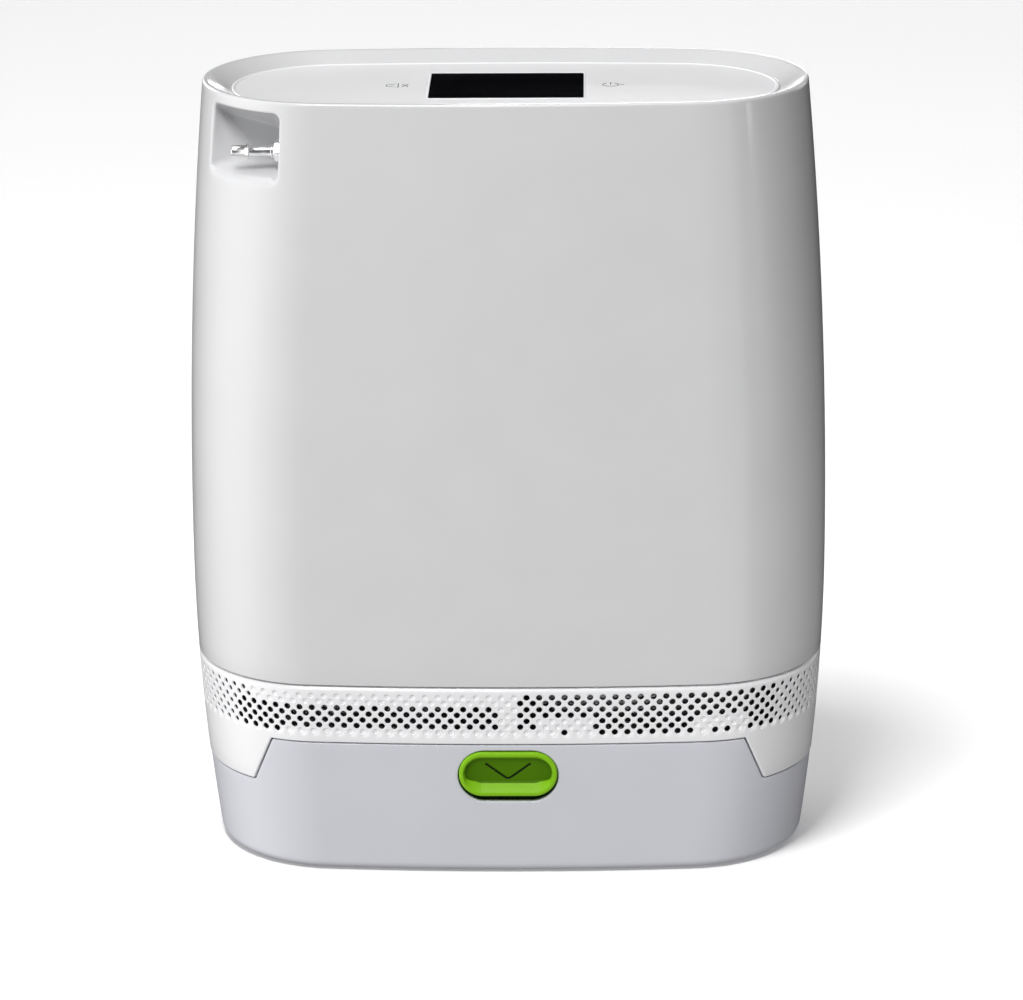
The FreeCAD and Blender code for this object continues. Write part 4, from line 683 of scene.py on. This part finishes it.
def battery_case():
    """The battery's shell: stepped top edge, button slot and a round bottom edge."""
    sheet = Sheet()
    length = perimeter(35.0)
    lift, roll = -GAP / 2, 0.45
    columns = seam_columns()
    nu, nv = seam_normal(columns, lift)
    rim = seam_line(columns, lift)
    edge_u, edge_v = columns + nu * roll / length, rim + nv * roll

    def put(share, z, depth):
        behind = case(share, np.maximum(z, BOTTOM_Z + BATTERY_WALL),
                      np.maximum(depth, BATTERY_WALL) + BATTERY_INSET)
        return sheet.add(case(share, z, depth + BATTERY_INSET), behind)

    rows = [put(edge_u - nu * roll / length, edge_v - nv * roll, 1.3)]
    for along, cut in reversed(arc_steps(4)):
        up = roll * along
        rows.append(put(edge_u - nu * up / length, edge_v - nv * up, roll * cut))
    first = len(rows)
    round_start = BOTTOM_Z + BATTERY_ROUND
    parts = [0.0, 0.06] + [i / 30 for i in range(3, 31)]
    for part in parts:
        rows.append(put(edge_u + (columns - edge_u) * part,
                        edge_v + (round_start - edge_v) * part, 0.0))
    fall = round_start - edge_v[0]
    levels = np.array([0.0] * first + [edge_v[0] + fall * part for part in parts])
    for along, cut in arc_steps(8):
        rows.append(put(columns, round_start - BATTERY_ROUND * along, BATTERY_ROUND * cut))
    ids = np.array(rows)
    slot_rows = (first, int(np.argmin(abs(levels - SLOT_CELL_LOW))))
    middle_z = (SLOT_LOW + SLOT_TOP) / 2
    radius = (SLOT_TOP - SLOT_LOW) / 2
    count = len(columns)
    centre, half_cols = count // 2, int(round(SLOT_CELL / length * count))
    # the slot's columns cross the seam of the ring, so the grid is turned half way round
    ids = np.roll(ids, centre, axis=1)
    turned = np.roll(columns, centre)
    slot_cols = (centre - half_cols, centre + half_cols)
    grid_faces(sheet, ids, [(slot_cols, slot_rows)])
    loop, places = hole_edge(slot_cols, slot_rows, ids)
    q = np.array([(((turned[c] + 0.5) % 1.0 - 0.5) * length, levels[r] - middle_z)
                  for c, r in places])
    lip = 0.55
    rim_spots, away = rounded(q, SLOT_HALF, radius, radius - 1e-6, lip)
    rings = [(q + (rim_spots - q) * part, 0.0) for part in (0.3, 0.65, 1.0)]
    rings += [(rim_spots - away * lip * along, lip * cut) for along, cut in arc_steps(5)]
    rings += [(rim_spots - away * lip, depth) for depth in (1.2, 2.0)]
    sheet.strips([loop] + [put(spot[:, 0] / length, middle_z + spot[:, 1], depth)
                           for spot, depth in rings], closed=True)
    # flat bottom
    edge = case(turned, BOTTOM_Z, BATTERY_ROUND + BATTERY_INSET)
    last = sheet.add(edge, edge + (0, 0, BATTERY_WALL))
    for shrink in np.linspace(0.92, 0.02, 13):
        ring = edge * (shrink, shrink, 1)
        row = sheet.add(ring, ring + (0, 0, BATTERY_WALL))
        sheet.strip(last, row, closed=True)
        last = row
    tip = sheet.add([(0, 0, BOTTOM_Z)], [(0, 0, BOTTOM_Z + BATTERY_WALL)])
    sheet.fan(last, tip[0])
    points, faces = doubled(*sheet.welded())
    return make("battery_skin", points, faces)


# ------------------------ latch button
# the cap seen from the front, how far forward it stands, its rim and its engraved line
BUTTON_HALF, BUTTON_LOW, BUTTON_HIGH, BUTTON_FRONT = 16.2, 27.85, 43.35, 45.2
RIM_END, RIM_ROLL = 1.35, 0.7
CHEVRON = [(-7.2, 38.7), (-1.2, 33.95), (-0.55, 33.52), (0.0, 33.38), (0.55, 33.52),
           (1.2, 33.95), (7.2, 38.7)]
# the engraved line's half width and depth, and how near to it faces are painted near-black as
# painted shade in the groove
GROOVE_HALF, GROOVE_DEPTH, GROOVE_SHADE_REACH = 0.45, 0.35, 0.38
# the plate behind the cap: half width, half height, corner radius, thickness and edge
FLANGE = (18.3, 8.6, 1.2, 0.85, 0.2)
FLANGE_SPOT = (0, -41.62, 34.3)
# what lies further back than this is painted near-black: painted shade deep in the slot
SLOT_SHADE_Y = -42.4


def wall_width(upward):
    """How far the well's wall reaches in from the rim: short above, a broad ledge below."""
    part = np.clip((-np.asarray(upward) - 0.3) / 0.62, 0, 1)
    above = np.clip(upward, 0, 1)
    return 0.62 + 0.6 * above * above + 2.5 * part * part * (3 - 2 * part)


def well_depth(z):
    """Depth of the well's floor, which falls away towards the ledge."""
    return 1.3 + 1.5 * (42.0 - z) / 10.0


def groove_gap(spots, line):
    """Distance from each spot to the engraved line."""
    gap = np.full(len(spots), 9.0)
    for start, end in zip(line, line[1:]):
        run = end - start
        t = np.clip(((spots - start) @ run) / (run @ run), 0, 1)
        gap = np.minimum(gap, np.linalg.norm(spots - start - t[:, None] * run, axis=1))
    return gap


def latch_button():
    """A stadium cap with a rolled rim and a concave well, and the flange behind it."""
    middle = (BUTTON_LOW + BUTTON_HIGH) / 2
    radius = (BUTTON_HIGH - BUTTON_LOW) / 2
    span = BUTTON_HALF - radius
    straight, curve = 96, 80
    lane = np.linspace(-span, span, straight, endpoint=False)
    turn = np.linspace(0, math.pi, curve, endpoint=False)
    core = np.concatenate([np.stack([lane, np.zeros(straight)], -1),
                           np.tile([span, 0.0], (curve, 1)),
                           np.stack([-lane, np.zeros(straight)], -1),
                           np.tile([-span, 0.0], (curve, 1))])
    away = np.concatenate([np.tile([0.0, -1.0], (straight, 1)),
                           np.stack([np.sin(turn), -np.cos(turn)], -1),
                           np.tile([0.0, 1.0], (straight, 1)),
                           np.stack([-np.sin(turn), np.cos(turn)], -1)])
    sheet = Sheet()
    rows = []
    wall = wall_width(away[:, 1])
    chevron = np.array(CHEVRON) - (0, middle)

    def ring(inward, depth):
        x, z = (core + away * (radius - inward)[:, None]).T
        rows.append(sheet.add(np.stack([x, depth - BUTTON_FRONT, middle + z], -1)))

    level = np.ones(len(core))
    profile = [(0.0, 3.6), (0.0, 0.75)]
    profile += [(RIM_ROLL * cut, 0.75 - 0.75 * along) for along, cut in arc_steps(6)]
    profile += [(RIM_END - 0.15, 0.0)]
    for inward, depth in profile:
        ring(level * inward, level * depth)
    foot = well_depth(middle + (core + away * (radius - RIM_END - wall)[:, None])[:, 1])
    for t in (0.0, 0.06, 0.14, 0.25, 0.4, 0.55, 0.7, 0.82, 0.91, 0.97, 1.0):
        fall = t - 0.12 * math.sin(2 * math.pi * t) / (2 * math.pi) if t < 1 else 1.0
        ring(RIM_END + wall * t, foot * fall + 0.06 * (1 - abs(2 * t - 1)) * (t < 0.2))
    inner_end = radius - 0.12
    for part in np.linspace(0, 1, 31)[1:]:
        inward = RIM_END + wall + (inner_end - RIM_END - wall) * part
        spot = core + away * (radius - inward)[:, None]
        depth = well_depth(middle + spot[:, 1])
        gap = groove_gap(spot, chevron)
        ring(inward, depth + GROOVE_DEPTH * np.clip(1 - (gap / GROOVE_HALF) ** 2, 0, 1))
    sheet.strips(rows, closed=True)
    # the cap's middle: quads between its straight sides, and a fan at each end
    last, total = rows[-1], len(core)
    for i in range(straight):
        j = (2 * straight + curve - i) % total
        sheet.faces.append(last[[[i, (i + 1) % total, j - 1, j]]])
    for start in (straight, 2 * straight + curve):
        sheet.faces.append(end_fan(last[np.arange(start, start + curve + 1) % total]))
    sheet.faces.append(end_fan(rows[0]))
    cap, _, cap_faces = sheet.welded()
    flange, flange_faces = slab(*FLANGE)
    flange = flange[:, [0, 2, 1]] + FLANGE_SPOT
    piece = make("button_skin", *join([(cap, cap_faces), (flange, flange_faces)]))
    # zones: the well's floor is painted a darker green as painted shade, the engraved line and all
    # that lies deep in the slot near-black as painted shade
    spots = face_centres(piece) - (0, 0, middle)
    nearest = np.clip(spots[:, 0], -span, span)
    reach = np.hypot(spots[:, 0] - nearest, spots[:, 2])
    upward = spots[:, 2] / np.maximum(reach, 1e-6)
    floor = radius - reach > RIM_END + 0.85 * wall_width(upward)
    cut = floor & (groove_gap(spots[:, [0, 2]], chevron) < GROOVE_SHADE_REACH)
    behind = spots[:, 1] > SLOT_SHADE_Y
    set_zones(piece, np.select([behind | cut, floor], [2, 1], 0))
    return piece


def end_fan(row):
    """Triangles from the first point of a row to all the others."""
    return np.stack([np.full(len(row) - 2, row[0]), row[1:-1], row[2:], row[2:]], -1)


def corner_ring(half_u, half_v, segments):
    """For each point of a rounded rectangle, the middle of its corner and the way out."""
    turn = np.linspace(0, math.pi / 2, segments)
    quarter = np.stack([np.cos(turn), np.sin(turn)], -1)
    away = np.concatenate([quarter, quarter[::-1] * (-1, 1), -quarter, quarter[::-1] * (1, -1)])
    core = np.repeat([(1, 1), (-1, 1), (-1, -1), (1, -1)], segments, axis=0)
    return core * (half_u, half_v), away


def slab(half_u, half_v, corner, thick, edge, segments=12):
    """A flat plate of rounded outline with softened edges, centred on the origin."""
    sheet = Sheet()
    core, away = corner_ring(half_u - corner, half_v - corner, segments)

    def ring(shrink, height):
        return sheet.add(at_height(core + away * (corner - shrink), height))

    half = thick / 2
    rows = [ring(edge + 0.3, -half), ring(edge, -half), ring(edge * 0.3, -half + edge * 0.3),
            ring(0, -half + edge), ring(0, half - edge), ring(edge * 0.3, half - edge * 0.3),
            ring(edge, half), ring(edge + 0.3, half)]
    sheet.strips(rows, closed=True)
    for row, height in ((rows[0], -half), (rows[-1], half)):
        sheet.fan(row, sheet.add([(0, 0, height)])[0])
    points, _, faces = sheet.welded()
    return points, faces


# ------------------------ control panel
# the display's middle and half sizes, and the width of the printed lines
WINDOW = (0.45, 0.45, 25.05, 19.15)
MARK_WIDTH = 0.34


def control_panel():
    """The panel: a raised border line, a flat face and the display's recess."""
    shares = np.arange(320) / 320
    sheet = Sheet()
    x0, y0, half_x, half_y = WINDOW

    def ring(gap, z):
        x, y, _, _ = oval(PANEL_A, PANEL_B, PANEL_B * END_SHARE, shares, gap)
        return sheet.add(at_height(np.stack([x, y], -1), z))

    face, foot = PANEL_Z - 0.02, PANEL_Z - 1.5
    rows = [ring(0.2, foot)]
    for gap, rise in ((0.2, 0.1), (0.24, 0.24), (0.36, 0.32), (0.9, 0.34), (1.15, 0.3),
                      (1.35, 0.16), (1.5, 0.03), (1.75, 0.0)):
        rows.append(ring(gap, face + rise))
    x, y, _, _ = oval(PANEL_A, PANEL_B, PANEL_B * END_SHARE, shares, 1.75)
    outer = np.stack([x, y], -1)
    q = outer - (x0, y0)
    # the window's outline, met by straight lines from its middle
    reach = np.min((half_x, half_y) / np.maximum(abs(q), 1e-9), axis=1)
    window = q * reach[:, None] + (x0, y0)
    steps = [(part, 0.0) for part in (0.25, 0.5, 0.75, 0.9, 0.98)] + [(1.0, 0.04), (1.0, 1.1)]
    for part, drop in steps:
        rows.append(sheet.add(at_height(outer + (window - outer) * part, face - drop)))
    inner = (window - (x0, y0)) * (1 - 2.0 / half_y) + (x0, y0)
    rows += [sheet.add(at_height(inner, z)) for z in (face - 1.1, foot)]
    sheet.strips(rows, closed=True)
    sheet.strip(rows[-1], rows[0], closed=True)
    points, _, faces = sheet.welded()
    return make("panel_skin", points, faces)


def display_window():
    """The dark glass of the display."""
    x0, y0, half_x, half_y = WINDOW
    lip = 0.16
    points, faces = slab(half_x - lip, half_y - lip, 0.9, 0.85, 0.14)
    return make("window_skin", points + (x0, y0, PANEL_Z - 0.5), faces)


def window_lip():
    """The thin raised frame round the display."""
    x0, y0, half_x, half_y = WINDOW
    sheet = Sheet()
    core, away = corner_ring(half_x - 1.0, half_y - 1.0, 8)
    rows = []
    for grow, z in ((0.84, -0.5), (0.84, 0.02), (0.95, 0.1), (1.25, 0.1), (1.4, 0.02), (1.4, -0.5)):
        rows.append(sheet.add(at_height(core + away * grow, z)))
    sheet.strips(rows, closed=True)
    sheet.strip(rows[-1], rows[0], closed=True)
    points, _, faces = sheet.welded()
    return make("window_lip", points + (x0, y0, PANEL_Z), faces)


def line_mark(name, strokes, width):
    """Printed line art: thin flat strips with a slight thickness."""
    parts = []
    for stroke in strokes:
        p = np.array(stroke, float)
        closed = np.allclose(p[0], p[-1])
        if closed:
            p = p[:-1]
        ahead = np.roll(p, -1, axis=0) - np.roll(p, 1, axis=0)
        if not closed:
            ahead[0], ahead[-1] = p[1] - p[0], p[-1] - p[-2]
        ahead /= np.linalg.norm(ahead, axis=1, keepdims=True)
        across = np.stack([-ahead[:, 1], ahead[:, 0]], -1) * width / 2
        sheet = Sheet()
        rows = [sheet.add(at_height(p + side * across, z))
                for side, z in ((1, -0.03), (1, 0.02), (-1, 0.02), (-1, -0.03))]
        for row, other in zip(rows, rows[1:] + rows[:1]):
            sheet.strip(row, other, closed=closed)
        if not closed:
            ends = np.array(rows)[:, [0, -1]]
            sheet.faces.append(ends.T)
        points, _, faces = sheet.welded()
        parts.append((points, faces))
    points, faces = join(parts)
    return make(name, points + (0, 0, PANEL_Z), faces)


def circle(x, y, radius, start=0.0, end=360.0, count=40):
    """Points along part of a circle, from one angle in degrees to another."""
    turn = np.radians(np.linspace(start, end, count))
    return [(x + radius * math.cos(t), y + radius * math.sin(t)) for t in turn]


def icons():
    """Two generic marks: a ring with a stroke for power, and a crossed horn for the alarm."""
    power = line_mark("mark_power", [circle(34.0, 1.0, 2.5, 120, 420), [(34.0, 1.2), (34.0, 4.2)],
                                     [(36.9, 1.0), (38.4, 1.0)]], MARK_WIDTH)
    horn = [(-38.4, -0.6), (-38.4, 1.9), (-37.0, 1.9), (-34.6, 3.6), (-34.6, -2.3), (-37.0, -0.6),
            (-38.4, -0.6)]
    cross = [(-33.4, 2.6), (-31.4, -1.2)], [(-33.4, -1.2), (-31.4, 2.6)]
    return power, line_mark("mark_alarm", [horn, *cross], MARK_WIDTH)


# ------------------------ outlet, inlet, feet
SIDE_X, NOZZLE_Y, NOZZLE_Z, NOZZLE_LENGTH = -71.0, -30.0, 242.4, 15.6
INLET_MOUTH = 41.2
FOOT_X, FOOT_Y = 72.0, 24.0
# the nut's corners, the radius under which a ring lies in its bore, and how far out it stands
NUT_CORNER, NUT_BORE, NUT_REACH = 3.5, 2.6, 2.05


def nozzle():
    """The outlet's stem, with a barb near its mouth."""
    tip = SIDE_X - NOZZLE_LENGTH
    profile = [(1.0, 6.0), (1.1, 0.35), (1.3, 0.08), (1.5, 0.0), (1.72, 0.12), (1.8, 0.4),
               (1.85, 0.9), (1.85, 4.3), (1.95, 4.4), (2.5, 5.3), (2.6, 5.45), (2.58, 5.56),
               (2.5, 5.62), (1.88, 5.66), (1.82, 5.8), (1.82, 10.5), (1.85, 10.6), (1.85, 20.0)]
    return make("nozzle_skin", *lathe(profile, (tip, NOZZLE_Y, NOZZLE_Z), "X", 64))


def nozzle_nut():
    """The six-sided nut that holds the stem, and its collar."""
    centre = (SIDE_X - NUT_REACH, NOZZLE_Y, NOZZLE_Z)
    profile = [(1.9, 0.0), (2.9, 0.02), (3.15, 0.18), (3.45, 0.45), (3.5, 0.6), (3.5, 1.45),
               (3.45, 1.6), (3.3, 1.75), (3.3, 2.0)]
    collar = [(1.95, -1.0), (2.25, -0.95), (2.35, -0.8), (2.35, 0.1)]
    parts = [lathe(profile, centre, "X", sides=6), lathe(collar, centre, "X", 64)]
    return make("nut_skin", *join(parts))


def power_inlet():
    """The round power socket at the back, and the pin inside it."""
    mouth = (INLET_X, INLET_MOUTH, INLET_Z)
    profile = [(6.5, -15.0), (6.6, -14.0), (6.6, -0.5), (6.5, -0.15), (6.2, 0.0), (5.3, 0.0),
               (5.1, -0.1), (5.0, -0.4), (4.6, -0.9), (4.15, -1.1), (3.95, -1.3), (3.9, -1.8),
               (3.9, -9.9)]
    pin = [(0.95, -9.95), (0.95, -2.2), (0.85, -1.9), (0.6, -1.75), (0.3, -1.7)]
    return (make("inlet_skin", *lathe(profile, mouth, "Y")),
            make("inlet_pin", *lathe(pin, mouth, "Y", 32)))


def feet():
    """Four ring-shaped rubber feet."""
    profile = [(6.2, 1.45), (7.0, 1.4), (7.0, 0.5), (6.85, 0.2), (6.5, 0.04), (6.1, 0.0),
               (4.2, 0.0), (4.0, 0.1), (3.8, 0.3), (3.6, 0.4)]
    return make("feet_skin", *join([lathe(profile, (x, y, 0.0), "Z", 64)
                                    for x in (-FOOT_X, FOOT_X) for y in (-FOOT_Y, FOOT_Y)]))


# ------------------------ materials
def wire(tree, *joints):
    """Link nodes: each joint is a node, its output, the next node and its input."""
    for source, output, target, entry in joints:
        tree.links.new(source.outputs[output], target.inputs[entry])


def new_node(nodes, kind, **values):
    """A shader node, with some of its inputs set."""
    node = nodes.new("ShaderNode" + kind)
    for name, value in values.items():
        node.inputs[name.replace("_", " ")].default_value = value
    return node


def material(name, colour, rough, metal=0.0, coat=0.0, specular=0.5, tint=0.03, grain=900.0,
             bump=0.02, rough_spread=0.05, cloud=45.0, glow=0.0):
    """A moulded or turned surface: faint clouds in the colour, uneven gloss and a fine grain."""
    made = bpy.data.materials.new(name)
    made.use_nodes = True
    nodes = made.node_tree.nodes
    nodes.clear()
    out = new_node(nodes, "OutputMaterial")
    shader = new_node(nodes, "BsdfPrincipled", Metallic=metal, Specular_IOR_Level=specular,
                      Coat_Weight=coat, Coat_Roughness=0.08)
    place = new_node(nodes, "TexCoord")
    clouds = new_node(nodes, "TexNoise", Scale=cloud, Detail=3.0)
    shades = new_node(nodes, "ValToRGB")
    ends = zip(shades.color_ramp.elements, (0.3, 0.7), (1 - tint, 1 + tint))
    for element, at, share in ends:
        element.position = at
        element.color = [min(1, c * share) for c in colour] + [1]
    specks = new_node(nodes, "TexNoise", Scale=grain, Detail=2.0)
    gloss = new_node(nodes, "MapRange", To_Min=max(0.02, rough - rough_spread),
                     To_Max=rough + rough_spread)
    relief = new_node(nodes, "Bump", Strength=bump, Distance=0.0002)
    wire(made.node_tree, (shader, 0, out, 0), (place, "Object", clouds, "Vector"),
         (clouds, "Fac", shades, "Fac"), (shades, "Color", shader, "Base Color"),
         (place, "Object", specks, "Vector"), (clouds, "Fac", gloss, "Value"),
         (gloss, "Result", shader, "Roughness"), (specks, "Fac", relief, "Height"),
         (relief, "Normal", shader, "Normal"))
    if glow:
        shader.inputs["Emission Color"].default_value = (1, 1, 1, 1)
        shader.inputs["Emission Strength"].default_value = glow
    return made


FINISHES = {
    "housing_shell": dict(colour=(0.66, 0.66, 0.668), rough=0.3, coat=0.35, tint=0.012, bump=0.012),
    "vent_band": dict(colour=(0.83, 0.83, 0.84), rough=0.34, coat=0.2, tint=0.012, bump=0.015),
    "panel_plastic": dict(colour=(0.84, 0.84, 0.85), rough=0.36, coat=0.1, tint=0.012, bump=0.015),
    "display_glass": dict(colour=(0.003, 0.003, 0.004), rough=0.08, specular=0.1, tint=0.2,
                          rough_spread=0.02, bump=0.002),
    "black_plastic": dict(colour=(0.02, 0.02, 0.022), rough=0.45, tint=0.15, bump=0.06),
    "circuit_board": dict(colour=(0.02, 0.12, 0.05), rough=0.4, tint=0.3, cloud=260.0),
    "nozzle_chrome": dict(colour=(0.82, 0.82, 0.83), rough=0.12, metal=1.0, rough_spread=0.04,
                          grain=1600.0),
    "dark_rubber": dict(colour=(0.03, 0.03, 0.03), rough=0.8, tint=0.2, bump=0.15),
    "white_plastic": dict(colour=(0.75, 0.75, 0.74), rough=0.45, bump=0.04),
    "steel": dict(colour=(0.55, 0.55, 0.56), rough=0.3, metal=1.0, tint=0.06, rough_spread=0.08),
    "battery_shell": dict(colour=(0.61, 0.615, 0.66), rough=0.4, coat=0.1, tint=0.012, bump=0.02),
    "cell_metal": dict(colour=(0.10, 0.22, 0.42), rough=0.35, tint=0.08),
    "button_green": dict(colour=(0.22, 0.50, 0.012), rough=0.4, specular=0.14, bump=0.03),
    # darker greens painted as shade: the well's floor, and the groove and the slot's depths
    "button_well": dict(colour=(0.066, 0.17, 0.002), rough=0.5, specular=0.06, tint=0.05,
                        bump=0.05),
    "button_recess_painted_shade": dict(colour=(0.004, 0.014, 0.001), rough=0.6, specular=0.1, tint=0.05,
                          bump=0.05),
    # a near-black painted shade deep in the vents, and a darker grey painted shade on the pocket's
    # back wall
    "vent_painted_shade": dict(colour=(0.02, 0.02, 0.021), rough=0.6, tint=0.1, bump=0.05),
    "pocket_back_painted_shade": dict(colour=(0.56, 0.565, 0.575), rough=0.4, coat=0.1, tint=0.012, bump=0.02),
    "aluminium": dict(colour=(0.62, 0.62, 0.63), rough=0.42, metal=1.0, tint=0.05, bump=0.08),
    "copper_pipe": dict(colour=(0.70, 0.33, 0.17), rough=0.3, metal=1.0, tint=0.12),
    "zeolite": dict(colour=(0.62, 0.55, 0.42), rough=0.9, tint=0.2, cloud=900.0, bump=0.5),
    "foam": dict(colour=(0.06, 0.06, 0.065), rough=0.95, tint=0.3, cloud=700.0, bump=0.6),
    "hose_silicone": dict(colour=(0.72, 0.74, 0.76), rough=0.35, bump=0.03),
}
MADE = {slot: material(slot, **finish) for slot, finish in FINISHES.items()}


def dress(piece, slot, shades=()):
    """Give a piece its finish, and the darker colours painted as shade on its numbered zones."""
    zones = np.zeros(len(piece.data.polygons), dtype=np.int32)
    piece.data.polygons.foreach_get("material_index", zones)
    piece.data.materials.clear()
    for name in (slot, *shades):
        piece.data.materials.append(MADE[name])
    set_zones(piece, zones)


def place(piece, body, slot, *nodes, shades=()):
    """Dress a piece, and declare its body, its slot and the CAD nodes it stands for."""
    dress(piece, slot, shades)
    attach(piece, body)
    if nodes:
        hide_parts(*nodes)


place(upper_case(), "concentrator", "housing_shell", "upper_housing", shades=["pocket_back_painted_shade"])
place(vent_band(), "concentrator", "vent_band", "lower_housing", shades=["vent_painted_shade"])
place(housing_floor(), "concentrator", "vent_band")
place(battery_case(), "battery_pack", "battery_shell", "battery_case")
place(latch_button(), "latch_button", "button_green", "latch_button",
      shades=["button_well", "button_recess_painted_shade"])
place(control_panel(), "concentrator", "panel_plastic", "control_panel")
place(display_window(), "concentrator", "display_glass", "display_window")
place(window_lip(), "concentrator", "panel_plastic")
for mark in icons():
    place(mark, "concentrator", "black_plastic")
place(nozzle(), "concentrator", "nozzle_chrome", "outlet_nozzle")
place(nozzle_nut(), "concentrator", "nozzle_chrome", "outlet_nut")
socket, contact = power_inlet()
place(socket, "concentrator", "black_plastic", "power_inlet")
place(contact, "concentrator", "steel")
place(feet(), "battery_pack", "dark_rubber", "battery_feet")

slots = {part["node"]: part["material_slot"] for part in frame["record"]["subparts"]}
for name, node in frame["nodes"].items():
    for index in range(len(node.data.materials)):
        node.data.materials[index] = MADE[slots[name]]


# ------------------------ floor, lights
def make_floor():
    """A wide pale floor, which lights nothing else."""
    sheet = Sheet()
    spots = np.linspace(-4000, 4000, 9)
    rows = [sheet.add(np.stack([np.full(9, x), spots, np.zeros(9)], -1)) for x in spots]
    sheet.strips(rows)
    points, _, faces = sheet.welded()
    floor = make("floor", points, faces)
    floor.data.materials.append(material("floor_paper", (0.93, 0.93, 0.93), 0.75, tint=0.004,
                                         cloud=3.0, bump=0.01, glow=0.03))
    floor.visible_diffuse = False
    floor.visible_glossy = False
    return floor


def make_world():
    """Soft studio surroundings: bright on the left and in front, dim behind, dark on the right."""
    world = bpy.data.worlds.new("studio")
    world.use_nodes = True
    nodes = world.node_tree.nodes
    nodes.clear()
    out = new_node(nodes, "OutputWorld")
    mix = new_node(nodes, "MixShader")
    path = new_node(nodes, "LightPath")
    seen = new_node(nodes, "Background", Color=(1, 1, 1, 1))
    light = new_node(nodes, "Background", Strength=WORLD_STRENGTH)
    place = new_node(nodes, "TexCoord")
    split = new_node(nodes, "SeparateXYZ")
    wire(world.node_tree, (place, "Generated", split, 0), (path, "Is Camera Ray", mix, 0),
         (light, 0, mix, 1), (seen, 0, mix, 2), (mix, 0, out, 0))
    levels = []
    for axis, stops in WORLD_STOPS.items():
        shift = new_node(nodes, "MapRange", From_Min=-1.0)
        ramp = new_node(nodes, "ValToRGB")
        elements = ramp.color_ramp.elements
        while len(elements) < len(stops):
            elements.new(0.5)
        for element, (at, level) in zip(elements, stops):
            element.position = (at + 1) / 2
            element.color = (level, level, level, 1)
        wire(world.node_tree, (split, axis, shift, "Value"), (shift, "Result", ramp, "Fac"))
        levels.append(ramp)
    product = levels[0]
    for ramp in levels[1:]:
        times = new_node(nodes, "VectorMath")
        times.operation = "MULTIPLY"
        wire(world.node_tree, (product, 0, times, 0), (ramp, "Color", times, 1))
        product = times
    wire(world.node_tree, (product, 0, light, "Color"))
    bpy.context.scene.world = world


# brightness against each part of the direction that light comes from, -1 to 1
WORLD_STOPS = {
    "X": [(-1.0, 1.0), (-0.86, 0.97), (-0.7, 0.62), (0.0, 0.58), (0.5, 0.6), (0.64, 0.5),
          (0.72, 0.05), (0.8, 0.0)],
    "Y": [(-1.0, 0.1), (-0.9, 0.22), (-0.72, 0.95), (-0.4, 1.0), (0.0, 0.85), (0.3, 0.42),
          (0.6, 0.12), (0.88, 0.0)],
    "Z": [(-1.0, 0.35), (-0.35, 0.95), (0.2, 1.0), (0.45, 0.5), (0.7, 0.22), (1.0, 0.15)],
}
WORLD_STRENGTH = 2.5


def area_light(name, spot, target, width, height, power, receivers=None, spread=180.0):
    """A soft rectangular light, on everything or on the given collection only."""
    lamp = bpy.data.lights.new(name, "AREA")
    lamp.shape = "RECTANGLE"
    lamp.size, lamp.size_y, lamp.energy = width, height, power
    lamp.spread = math.radians(spread)
    holder = bpy.data.objects.new(name, lamp)
    holder.light_linking.receiver_collection = receivers
    holder.location = spot
    aim = Vector(target) - Vector(spot)
    holder.rotation_euler = aim.to_track_quat("-Z", "Y").to_euler()
    holder.visible_camera = False
    bpy.context.scene.collection.objects.link(holder)


floor_only = bpy.data.collections.new("floor_only")
floor_only.objects.link(make_floor())
not_floor = bpy.data.collections.new("not_floor")
not_floor.objects.link(bpy.data.objects["floor"])
not_floor.collection_objects[0].light_linking.link_state = "EXCLUDE"
make_world()
area_light("key", (-0.35, -1.3, 1.75), (0, 0, 0.1), 0.7, 0.7, 28.0, receivers=not_floor)
area_light("top", (-0.4, -0.1, 2.0), (0, 0, 0.1), 1.0, 1.0, 9.0, receivers=not_floor)
area_light("floor_front", (-0.24, -0.56, 1.8), (0, 0, 0.0), 0.45, 0.45, 26.0, receivers=floor_only)
area_light("floor_wide", (0.4, 3.6, 4.0), (0.4, 3.6, 0.0), 7.0, 7.0, 195.0, receivers=floor_only)
area_light("rear_right", (1.3, 1.3, 0.5), (0, 0, 0.1), 0.8, 0.8, 3.0, receivers=not_floor)
area_light("low_right", (0.95, -0.5, 0.1), (0.1, 0, 0.055), 0.12, 0.12, 0.029,
           receivers=not_floor, spread=22.0)
area_light("rear_low", (0.2, 2.6, 0.3), (0, 0, 0.15), 0.6, 0.4, 9.5, receivers=not_floor)
area_light("rear", (-1.2, 1.9, 0.9), (0, 0, 0.1), 1.0, 0.8, 16.0, receivers=not_floor)
view = bpy.context.scene.view_settings
view.view_transform = "Standard"
view.look = "None"
